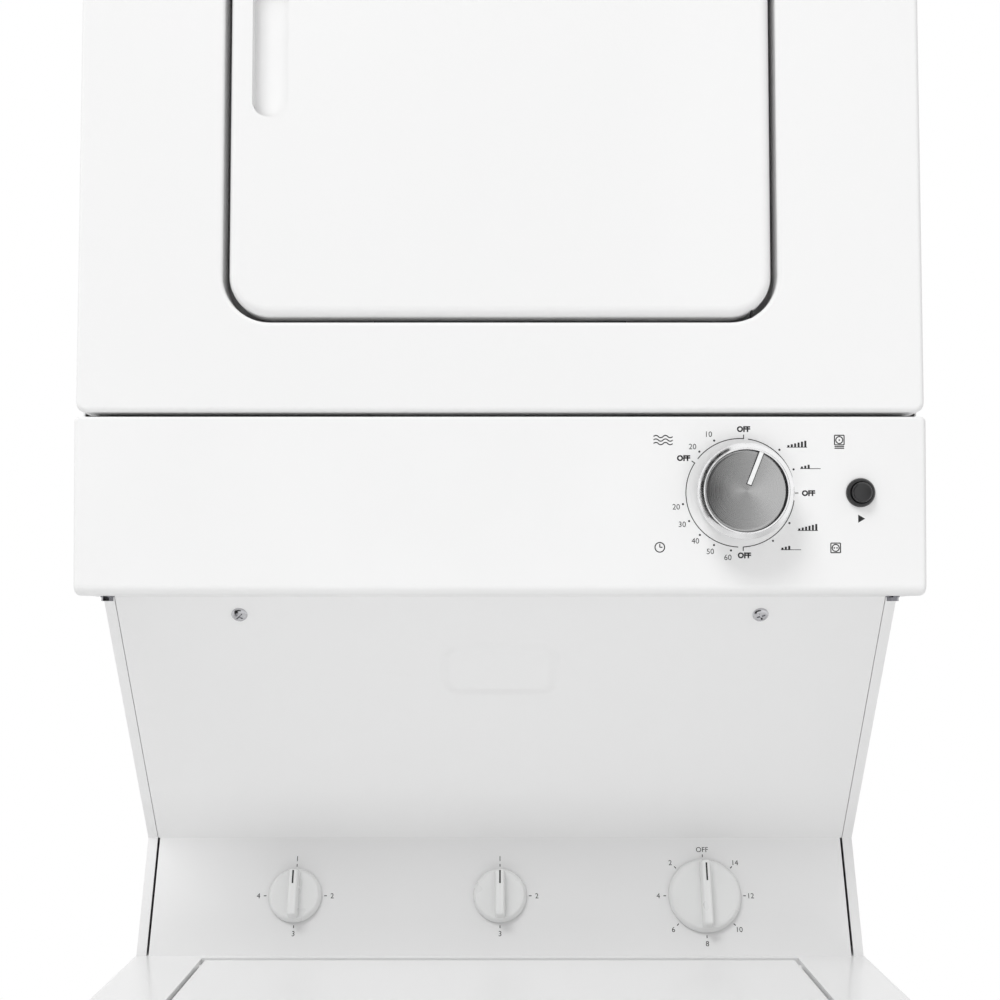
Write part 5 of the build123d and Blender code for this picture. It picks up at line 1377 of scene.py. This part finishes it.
    def air_symbol(self, place: Pair) -> list[Piece]:
        """Print a plain air sign: three waved lines.

        Args:
            place: the sign's middle.

        Returns:
            The sign's meshes.
        """
        across, up = self.metres(place)
        spread = math.radians(self.wave_spread)
        half = self.wave_radius * math.sin(spread)
        drop = self.wave_radius * math.cos(spread)
        made = []
        for row in (-1, 0, 1):
            for index in range(self.wave_bends):
                side, turn = (-1, 180.0) if index % 2 else (1, 0.0)
                span = (turn - self.wave_spread, turn + self.wave_spread)
                bend = arc_piece("wave", self.wave_radius, self.symbol_line, span, self.ink)
                shift = (index - (self.wave_bends - 1) / 2) * 2 * half
                seat_piece(bend, Matrix.Translation(
                    (across + shift, up + row * self.wave_pitch - side * drop, 0)))
                made.append(bend)
        return made

    def build(self) -> None:
        """Print the dial, its symbols and the button's start sign on the console."""
        around = self.lines() + self.words()
        around += self.air_symbol(self.air_place)
        around += self.drum_symbol(self.gentle_place, 1, 2)
        around += self.clock_symbol(self.clock_place)
        around += self.drum_symbol(self.warm_place, 2, 0)
        self.lay("dial_print", around, self.dial.across, self.dial.rise)
        sign = dot_piece("start_sign", self.sign_radius, (0, 0), self.ink, 3)
        turn = Matrix.Rotation(-math.pi / 2, 4, "Z")
        seat_piece(sign, Matrix.Translation((0, -self.sign_drop, 0)) @ turn)
        self.lay("start_print", [sign], self.start.across, self.start.rise)

    def lay(self, name: str, members: list[Piece], across: float, rise: float) -> None:
        """Join prints into one piece and lay it on the console.

        Args:
            name: the piece's name.
            members: the printed meshes about the bench's origin.
            across: where the bench's origin goes, right of the middle.
            rise: and above the console's lower edge.
        """
        piece = joined(name, members)
        seat_piece(piece, self.face.seat(across, rise))
        fit(piece, Body.STACK, INK, Slot.BLACK_PLASTIC)


@dataclass
class RecessPanel:
    """The sloping panel between the supports: a pressed bump, turned edges and two cross-head screws."""

    top_y: float = -118.0 * MM
    top_z: float = 1142.0 * MM
    knee_y: float = 28.75 * MM
    knee_z: float = 940.0 * MM
    half_width: float = 288.5 * MM
    sheet: float = 1.2 * MM
    turned_edge: float = 12.0 * MM
    touch: float = 0.1 * MM
    crease: float = 40.0
    bump_half_width: float = 48.0 * MM
    bump_drop: float = 69.0 * MM
    bump_half_height: float = 27.0 * MM
    bump_height: float = 2.5 * MM
    bump_border: float = 10.5 * MM
    bump_corner: float = 7.0 * MM
    bump_cuts: int = 63
    screw_across: float = 196.7 * MM
    screw_drop: float = 16.7 * MM
    screw_radius: float = 6.0 * MM
    screw_dome: float = 2.6 * MM
    screw_turn: float = 0.5
    cross_size: Point = (6.6 * MM, 1.4 * MM, 3.0 * MM)
    cross_edge: float = 0.15 * MM
    cross_turn: float = 0.35
    screw_steps: ClassVar[Steps] = (
        (-3.6, -9.0), (-3.6, 0.02), (0.0, 0.02), (0.0, 0.5), (-0.5, 1.3), (-1.5, 2.0), (-3.0, 2.45),
        (-5.2, 2.6))

    @property
    def length(self) -> float:
        """The panel's length down its slope."""
        return math.hypot(self.knee_y - self.top_y, self.top_z - self.knee_z)

    @property
    def bump_rise(self) -> float:
        """How far the bump's middle is above the panel's."""
        return self.length / 2 - self.bump_drop

    @property
    def seat(self) -> Matrix:
        """The panel's middle, with Y up the slope and Z out of the recess."""
        return sloped(
            Vector((0, self.top_y - self.knee_y, self.top_z - self.knee_z)),
            (0, (self.top_y + self.knee_y) / 2, (self.top_z + self.knee_z) / 2))

    def in_flat(self, vertex: bmesh.types.BMVert) -> bool:
        """Find the bump's flat, which has rounded corners.

        Args:
            vertex: a point of the sheet on the bench.

        Returns:
            Whether it is on the flat.
        """
        inset = self.bump_border + self.bump_corner
        across = abs(vertex.co.x) - (self.bump_half_width - inset)
        along = abs(vertex.co.y - self.bump_rise) - (self.bump_half_height - inset)
        return math.hypot(max(across, 0.0), max(along, 0.0)) <= self.bump_corner

    def press(self) -> Piece:
        """Press the bump into a flat sheet, turn its edges back and give it its thickness.

        Returns:
            The panel's mesh on the bench.
        """
        clear_selection()
        bpy.ops.mesh.primitive_plane_add(size=1)
        piece = settled("recess_sheet", (2 * self.half_width, self.length, 1))
        open_mesh()
        cuts = [((side * self.bump_half_width, 0, 0), (1, 0, 0)) for side in (-1, 1)]
        cuts += [((0, self.bump_rise + side * self.bump_half_height, 0), (0, 1, 0)) for side in (-1, 1)]
        for place, normal in cuts:
            bpy.ops.mesh.select_all(action="SELECT")
            bpy.ops.mesh.bisect(plane_co=place, plane_no=normal)
        middle = Vector((0, self.bump_rise, 0))
        pick(piece, "faces", lambda face: (face.calc_center_median() - middle).length < MM)
        bpy.ops.mesh.subdivide(number_cuts=self.bump_cuts)
        open_mesh("VERT")
        pick(piece, "verts", self.in_flat)
        bpy.ops.transform.translate(
            value=(0, 0, self.bump_height), use_proportional_edit=True,
            proportional_edit_falloff="SMOOTH", proportional_size=self.bump_border)
        self.turn_edges(piece)
        close_mesh()
        harden(piece, "SOLIDIFY", thickness=self.sheet, offset=-1.0)
        return piece

    def turn_edges(self, piece: Piece) -> None:
        """Turn the sheet's upper edge and its sides back, out of sight.

        Args:
            piece: the sheet, in edit mode on the bench.
        """
        top = self.length / 2 - self.touch
        side = self.half_width - self.touch
        back = self.seat.to_3x3().inverted() @ Vector((0, self.turned_edge, 0))
        down = Vector((0, 0, -self.turned_edge))
        open_mesh("VERT")
        for wanted, way in (
            (lambda vertex: vertex.co.y > top, back),
            (lambda vertex: abs(vertex.co.x) > side and vertex.co.z > -MM, down),
        ):
            pick(piece, "verts", wanted)
            bpy.ops.mesh.extrude_edges_move(TRANSFORM_OT_translate={"value": way})

    def screw(self) -> Piece:
        """Make one screw with a domed head and cut its cross recess.

        Returns:
            Its mesh about the bench's Z axis.
        """
        head = turned_piece("panel_screw", steps(self.screw_radius, 0.0, self.screw_steps), 48)
        for turn in (0.0, math.pi / 2):
            cutter = bar_piece("cross_cutter", self.cross_size, (0, 0, self.screw_dome), self.cross_edge, 1)
            seat_piece(cutter, Matrix.Rotation(turn + self.cross_turn, 4, "Z"))
            carve(head, "DIFFERENCE", cutter)
        return head

    def build(self) -> None:
        """Build the panel with its screws and fit them."""
        panel = self.press()
        seat_piece(panel, self.seat)
        smooth(panel, self.crease)
        fit(panel, Body.STACK, ENAMEL, Slot.ENAMEL, "recess_panel")
        right = self.screw()
        rise = self.length / 2 - self.screw_drop
        turn = Matrix.Rotation(self.screw_turn, 4, "Z")
        left = copied(right, Matrix.Translation((-self.screw_across, rise, 0)) @ turn)
        seat_piece(right, Matrix.Translation((self.screw_across, rise, 0)))
        pair = joined("recess_screws", [right, left])
        seat_piece(pair, self.seat)
        smooth(pair)
        fit(pair, Body.STACK, SCREW_PLATING, Slot.SCREW_STEEL, "panel_screws")


@dataclass(frozen=True)
class WasherKnob:
    """One of the washer's knobs: its place, its size and the marks round it."""

    node: str
    body: Body
    across: float
    radius: float
    sweep: float
    marks: tuple[str, ...]


@dataclass
class WasherControls:
    """The washer console's three knobs with their pointers and printed scales."""

    foot_y: float = -6.0 * MM
    foot_z: float = 850.0 * MM
    knee_y: float = 28.75 * MM
    knee_z: float = 940.0 * MM
    foot_gap: float = 1.0 * MM
    height: float = 20.0 * MM
    skirt: float = 7.0 * MM
    dish_share: float = 0.6
    dish_rise: float = 0.4 * MM
    hub_radius: float = 1.0 * MM
    hub_rise: float = 0.8 * MM
    grip_width: float = 9.0 * MM
    grip_inset: float = 2.4 * MM
    grip_sink: float = 1.0 * MM
    grip_edge: float = 2.2 * MM
    grip_taper: Point = (0.72, 0.94, 1.0)
    ink: float = 0.06 * MM
    text_height: float = 4.2 * MM
    number_reach: float = 8.6 * MM
    word_reach: float = 8.2 * MM
    tick_reach: Pair = (2.0 * MM, 4.2 * MM)
    tick_width: float = 0.7 * MM
    pointer_shares: Pair = (0.3, 0.78)
    pointer_width: float = 1.3 * MM
    pointer_ink: float = 0.12 * MM
    sides: int = 96
    foot_steps: ClassVar[Steps] = ((-0.3, 0.0), (0.0, 0.4), (0.0, 1.4), (-0.5, 2.4))
    rim_steps: ClassVar[Steps] = ((-1.6, -1.6), (-2.6, -0.4), (-3.8, 0.0))
    knobs: ClassVar[tuple[WasherKnob, ...]] = (
        WasherKnob("water_level_knob", Body.LEVEL, -170.0 * MM, 22.0 * MM, 270.0, ("1", "2", "3", "4")),
        WasherKnob("water_temp_knob", Body.TEMPERATURE, 0.0, 22.0 * MM, 180.0, ("1", "2", "3")),
        WasherKnob("cycle_knob", Body.CYCLE, 170.0 * MM, 30.0 * MM, 315.0,
                   ("OFF", "14", "12", "10", "8", "6", "4", "2")),
    )

    def seat(self, across: float) -> Matrix:
        """Give a knob's place on the console, with Y up the face and Z out of it."""
        return sloped(
            Vector((0, self.knee_y - self.foot_y, self.knee_z - self.foot_z)),
            (across, (self.foot_y + self.knee_y) / 2, (self.foot_z + self.knee_z) / 2))

    def grip(self, radius: float) -> Piece:
        """Make a knob: a turned skirt and a bar that tapers to its top.

        Args:
            radius: the skirt's radius.

        Returns:
            The knob's mesh about the bench's Z axis.
        """
        rim = self.foot_gap + self.skirt
        top = self.foot_gap + self.height
        skirt = turned_piece("knob_skirt", [
            *steps(radius, self.foot_gap, self.foot_steps),
            *steps(radius, rim, self.rim_steps),
            (radius * self.dish_share, rim + self.dish_rise),
            (self.hub_radius, rim + self.hub_rise),
        ], self.sides)
        clear_selection()
        bpy.ops.mesh.primitive_cube_add(size=1, location=(0, 0, (rim + top - self.grip_sink) / 2))
        bar = settled("knob_bar", (
            self.grip_width, 2 * (radius - self.grip_inset), top - rim + self.grip_sink))
        open_mesh()
        pick(bar, "faces", lambda face: face.normal.z > STEEP)
        bpy.ops.transform.resize(value=self.grip_taper)
        close_mesh()
        round_edges(bar, self.grip_edge, 5)
        return joined("washer_knob", [skirt, bar])

    def scale(self, knob: WasherKnob) -> Piece:
        """Print the knob's marks and ticks round its skirt.

        Args:
            knob: the knob and its marks.

        Returns:
            The print about the bench's origin.
        """
        made = []
        for index, words in enumerate(knob.marks):
            turn = math.radians(index * knob.sweep / (len(knob.marks) - 1))
            way = Vector((math.sin(turn), math.cos(turn)))
            ends = [tuple(way * (knob.radius + reach)) for reach in self.tick_reach]
            made.append(stroke_piece("tick", *ends, self.tick_width, self.ink))
            reach = knob.radius + (self.number_reach if len(words) < 3 else self.word_reach)
            made.append(text_piece("mark", words, self.text_height, tuple(way * reach), self.ink))
        return joined(f"{knob.node}_print", made)

    def pointer(self, knob: WasherKnob) -> Piece:
        """Make the line on top of a knob's bar.

        Args:
            knob: the knob.

        Returns:
            The line's mesh on the bench.
        """
        ends = [(0, knob.radius * share) for share in self.pointer_shares]
        piece = stroke_piece(f"{knob.node}_pointer", *ends, self.pointer_width, self.pointer_ink)
        seat_piece(piece, Matrix.Translation((0, 0, self.foot_gap + self.height - self.pointer_ink / 2)))
        return piece

    def build(self) -> None:
        """Build the knobs, their pointers and their scales and fit them."""
        for knob in self.knobs:
            grip, line, marks = self.grip(knob.radius), self.pointer(knob), self.scale(knob)
            for piece in (grip, line, marks):
                seat_piece(piece, self.seat(knob.across))
            smooth(grip)
            fit(grip, knob.body, CONTROL_PLASTIC, Slot.WHITE_PLASTIC, knob.node)
            fit(line, knob.body, INK, Slot.BLACK_PLASTIC)
            fit(marks, Body.STACK, INK, Slot.BLACK_PLASTIC)


@dataclass
class DoorHinge:
    """The dryer door's hinge: a stepped pin above and below, and a bushing for it in each door corner."""

    across: float = 180.5 * MM
    depth: float = -172.0 * MM
    middle: float = 1541.5 * MM
    door_half: Point = (194.7 * MM, 9.75 * MM, 199.7 * MM)
    door_front: float = -177.5 * MM
    door_corner: float = 29.7 * MM
    door_edge: float = 7.0 * MM
    touch: float = 0.01 * MM
    bore: float = 4.03 * MM
    pin_radius: float = 3.0 * MM
    pin_edge: float = 0.4 * MM
    neck_radius: float = 1.0 * MM
    running: float = 0.06 * MM
    pin_span: Pair = (160.0 * MM, 214.0 * MM)
    neck_span: Pair = (183.0 * MM, 200.5 * MM)
    bushing_start: float = 184.0 * MM
    overrun: float = 1.0 * MM

    def seat(self, end: int) -> Matrix:
        """Give the hinge's middle with Z towards its upper (1) or lower (-1) pin."""
        place = Matrix.Translation((self.across, self.depth, self.middle))
        return place if end > 0 else place @ Matrix.Rotation(math.pi, 4, "X")

    def envelope(self) -> Piece:
        """Make the door's outer form: a block with rounded corners and a rolled front edge.

        Returns:
            The form in its place.
        """
        depth = self.door_half[1]
        front = self.door_front + self.touch
        clear_selection()
        bpy.ops.mesh.primitive_cube_add(size=2, location=(0, self.door_front + depth, self.middle))
        piece = settled("door_form", self.door_half)
        open_mesh("EDGE")
        for wanted, offset, segments in (
            (lambda start, end: abs(start.y - end.y) > depth, self.door_corner, 48),
            (lambda start, end: max(start.y, end.y) < front, self.door_edge, 16),
        ):
            pick(piece, "edges", lambda edge: wanted(*(vertex.co for vertex in edge.verts)))
            bpy.ops.mesh.bevel(offset=offset, segments=segments, affect="EDGES")
        close_mesh()
        return piece

    def bushing(self, end: int) -> Piece:
        """Turn one bushing, trim it flush with the door's corner and bore it for the pin's neck.

        Args:
            end: 1 for the upper end, -1 for the lower.

        Returns:
            The bushing in its place.
        """
        start, beyond = self.bushing_start, self.door_half[2] + 2 * self.overrun
        hole = self.neck_radius + self.running
        piece = turned_piece("door_bushing", [(self.bore, start), (self.bore, beyond)], 64)
        cutter = turned_piece(
            "neck_cutter", [(hole, start - self.overrun), (hole, beyond + self.overrun)], 32)
        for member in (piece, cutter):
            seat_piece(member, self.seat(end))
        carve(piece, "INTERSECT", self.envelope())
        carve(piece, "DIFFERENCE", cutter)
        return piece

    def pin(self, end: int) -> Piece:
        """Turn one pin with a thinner neck where it crosses the gap beside the door.

        Args:
            end: 1 for the upper end, -1 for the lower.

        Returns:
            The pin in its place.
        """
        (tip, root), (low, high) = self.pin_span, self.neck_span
        wide, thin, edge = self.pin_radius, self.neck_radius, self.pin_edge
        profile = [
            (wide - edge, tip), (wide, tip + edge), (wide, low - edge), (thin, low),
            (thin, high), (wide, high), (wide, root),
        ]
        piece = turned_piece("door_pin", profile, 48)
        seat_piece(piece, self.seat(end))
        return piece

    def build(self) -> None:
        """Build the pins and the bushings and fit them."""
        pins = joined("door_pins", [self.pin(end) for end in (1, -1)])
        smooth(pins)
        fit(pins, Body.STACK, PIN_STEEL, Slot.SCREW_STEEL, "door_hinges")
        bushings = joined("door_bushings", [self.bushing(end) for end in (1, -1)])
        smooth(bushings)
        fit(bushings, Body.DOOR, ENAMEL, Slot.ENAMEL)


@dataclass
class RearFasteners:
    """The hexagon screws that hold the rear panels, and the threads on the water inlets."""

    rear_y: float = 320.0 * MM
    head_radius: float = 5.4 * MM
    hex_radius: float = 4.2 * MM
    hex_height: float = 3.0 * MM
    hex_middle: float = 2.3 * MM
    hex_edge: float = 0.35 * MM
    port_z: float = 1010.0 * MM
    port_radius: float = 13.3 * MM
    thread_radius: float = 0.75 * MM
    thread_start: float = 5.0 * MM
    thread_pitch: float = 2.3 * MM
    thread_turns: int = 5
    washer_steps: ClassVar[Steps] = ((0.0, 0.02), (0.0, 0.7), (-0.5, 1.0), (-4.4, 1.05))
    columns: ClassVar[Pair] = (-289.0, 289.0)
    rows: ClassVar[tuple[float, ...]] = (
        70.0, 250.0, 430.0, 610.0, 800.0, 880.0, 1110.0, 1175.0, 1330.0, 1500.0, 1670.0, 1800.0)
    ports: ClassVar[Pair] = (-220.0, -160.0)

    def screw(self) -> Piece:
        """Make one washer-faced hexagon screw.

        Returns:
            Its mesh about the bench's Z axis.
        """
        washer = turned_piece("screw_washer", steps(self.head_radius, 0.0, self.washer_steps), 32)
        clear_selection()
        bpy.ops.mesh.primitive_cylinder_add(
            vertices=6, radius=self.hex_radius, depth=self.hex_height, location=(0, 0, self.hex_middle))
        head = settled("screw_head")
        round_edges(head, self.hex_edge, 2)
        return joined("rear_screw", [washer, head])

    def threads(self) -> list[Piece]:
        """Make the thread's ridges round each water inlet.

        Returns:
            Their meshes in place.
        """
        made = []
        for across in self.ports:
            for turn in range(self.thread_turns):
                back = self.rear_y + self.thread_start + self.thread_pitch * turn
                clear_selection()
                bpy.ops.mesh.primitive_torus_add(
                    major_radius=self.port_radius, minor_radius=self.thread_radius,
                    major_segments=48, minor_segments=8,
                    location=(across * MM, back, self.port_z), rotation=(math.pi / 2, 0, 0))
                made.append(settled("port_thread"))
        return made

    def build(self) -> None:
        """Build the screws and the threads and fit them."""
        first = self.screw()
        out = Matrix.Rotation(-math.pi / 2, 4, "X")
        places = [(across * MM, self.rear_y, rise * MM) for across in self.columns for rise in self.rows]
        screws = [copied(first, Matrix.Translation(place) @ out) for place in places]
        bpy.data.objects.remove(first)
        row = joined("rear_screws", screws)
        smooth(row)
        fit(row, Body.STACK, SCREW_PLATING, Slot.SCREW_STEEL)
        threads = joined("inlet_threads", self.threads())
        smooth(threads)
        fit(threads, Body.STACK, DUCT_PLASTIC, Slot.ZINC)


@dataclass
class Studio:
    """The plain pale floor, the soft lights and the camera at the photograph's viewing angle."""

    floor_size: float = 40.0
    floor_drop: float = 0.5 * MM
    floor_tint: Colour = (0.80, 0.80, 0.80)
    grain_scale: float = 120.0
    shadow_radius: float = 1.1
    white_radius: float = 2.6
    sky: float = 0.58
    card_tints: ClassVar[tuple[Colour, ...]] = ((0.03, 0.03, 0.03), (0.05, 0.05, 0.05))
    card_scale: ClassVar[float] = 60.0
    camera_place: Point = (0.0, -1175.4 * MM, 1130.4 * MM)
    lens: float = 50.8
    sensor: float = 36.0
    near: float = 0.01
    lift: float = 0.035
    tilt: float = 3.122

    def floor(self) -> None:
        """Lay the floor, which turns plain white away from the object's shadow."""
        clear_selection()
        bpy.ops.mesh.primitive_plane_add(size=self.floor_size, location=(0, 0, -self.floor_drop))
        floor = started("studio_floor")
        bench = FinishBench("floor_paper")
        tints = [shade(self.floor_tint, factor) for factor in (0.99, 1.01)]
        bench.feed("Base Color", bench.ramp(bench.noise(self.grain_scale, 3.0), *zip(NOISE_BAND, tints)))
        bench.fix(Roughness=0.9, Specular_IOR_Level=0.1)
        fade = bench.remap(
            bench.distance(bench.place), (self.shadow_radius, self.white_radius), (0.0, 1.0))
        glow = bench.add("Emission", "Emission", {})
        bench.show_mix(bench.maths("MULTIPLY", fade, self.seen(bench)), bench.shader.outputs["BSDF"], glow)
        floor.data.materials.append(bench.material)

    @staticmethod
    def seen(bench: NodeBench) -> Socket:
        """Tell the rays that show the background as it is.

        Args:
            bench: the bench that gets the nodes.

        Returns:
            A value that is 1 for those rays.
        """
        path = bench.nodes.new("ShaderNodeLightPath")
        total = path.outputs["Is Camera Ray"]
        for name in ("Is Glossy Ray", "Is Transmission Ray"):
            total = bench.maths("MAXIMUM", total, path.outputs[name])
        return total

    def backdrop(self) -> None:
        """Light the object evenly from all round and show plain white behind it."""
        world = bpy.data.worlds.new("studio_sky")
        world.use_nodes = True
        bench = NodeBench(world.node_tree, "World")
        lighting, shown = (
            bench.add("Background", "Background", {"Color": (1, 1, 1, 1), "Strength": strength})
            for strength in (self.sky, 1.0))
        bench.show_mix(self.seen(bench), lighting, shown)
        bpy.context.scene.world = world

    @staticmethod
    def softbox(name: str, place: Point, aim: Point, size: Pair, power: float) -> None:
        """Hang a soft area light that leaves no glare of its own on the enamel.

        Args:
            name: its name.
            place: where it hangs.
            aim: the point it is turned to.
            size: its width and height.
            power: its power in watts.
        """
        clear_selection()
        bpy.ops.object.light_add(type="AREA", location=place)
        lamp = bpy.context.object
        lamp.name = name
        lamp.data.shape = "RECTANGLE"
        lamp.data.size, lamp.data.size_y = size
        lamp.data.energy = power
        lamp.visible_glossy = False
        lamp.rotation_euler = (Vector(aim) - Vector(place)).to_track_quat("-Z", "Y").to_euler()

    def flag(self, name: str, place: Point, turn: Point, size: Pair) -> None:
        """Stand a dark card that only shows in gloss and bright metal.

        Args:
            name: its name.
            place: its middle.
            turn: how it is turned from lying flat, in degrees.
            size: its two sides.
        """
        clear_selection()
        bpy.ops.mesh.primitive_plane_add(
            size=1, location=place, rotation=[math.radians(angle) for angle in turn])
        card = started(name)
        card.scale = (*size, 1)
        bench = FinishBench(name)
        bench.feed("Base Color", bench.ramp(
            bench.noise(self.card_scale), *zip(NOISE_BAND, self.card_tints)))
        bench.fix(Roughness=1.0, Specular_IOR_Level=0.0)
        card.data.materials.append(bench.material)
        card.visible_camera = False
        card.visible_diffuse = False
        card.visible_shadow = False

    def camera(self) -> None:
        """Set the camera level with the console's lower edge, a metre before it."""
        clear_selection()
        bpy.ops.object.camera_add(location=self.camera_place)
        camera = bpy.context.object
        camera.name = "photo_camera"
        camera.rotation_euler = (math.radians(90 + self.tilt), 0, 0)
        camera.data.lens = self.lens
        camera.data.sensor_width = self.sensor
        camera.data.shift_y = self.lift
        camera.data.clip_start = self.near
        bpy.context.scene.camera = camera

    def build(self) -> None:
        """Set the floor, the lights and the camera."""
        self.floor()
        self.backdrop()
        self.softbox("key_box", (-1.0, -2.0, 3.7), (0, -0.2, 1.2), (1.2, 1.2), 49.0)
        self.softbox("low_box", (0.1, -2.6, 0.3), (0, 0, 1.1), (2.4, 0.8), 19.0)
        self.flag("side_flag", (-0.55, -0.87, 2.4), (0, 90, 0), (4.7, 1.06))
        self.flag("front_flag", (-0.6, -2.6, 1.5), (90, 0, 0), (2.0, 2.6))
        self.camera()
        bpy.context.scene.view_settings.view_transform = "Standard"


def main() -> None:
    """Build and dress the sub-assemblies in order."""
    logging.basicConfig(level=logging.INFO, format="%(message)s")
    Shell().dress()
    console = ConsoleFace()
    dial = TimerDial(console)
    start = StartButton(console)
    for assembly in (
        dial, start, DialPrint(console, dial, start), RecessPanel(), WasherControls(), DoorHinge(),
        RearFasteners(), Studio(),
    ):
        assembly.build()


if __name__ == "__main__":
    main()
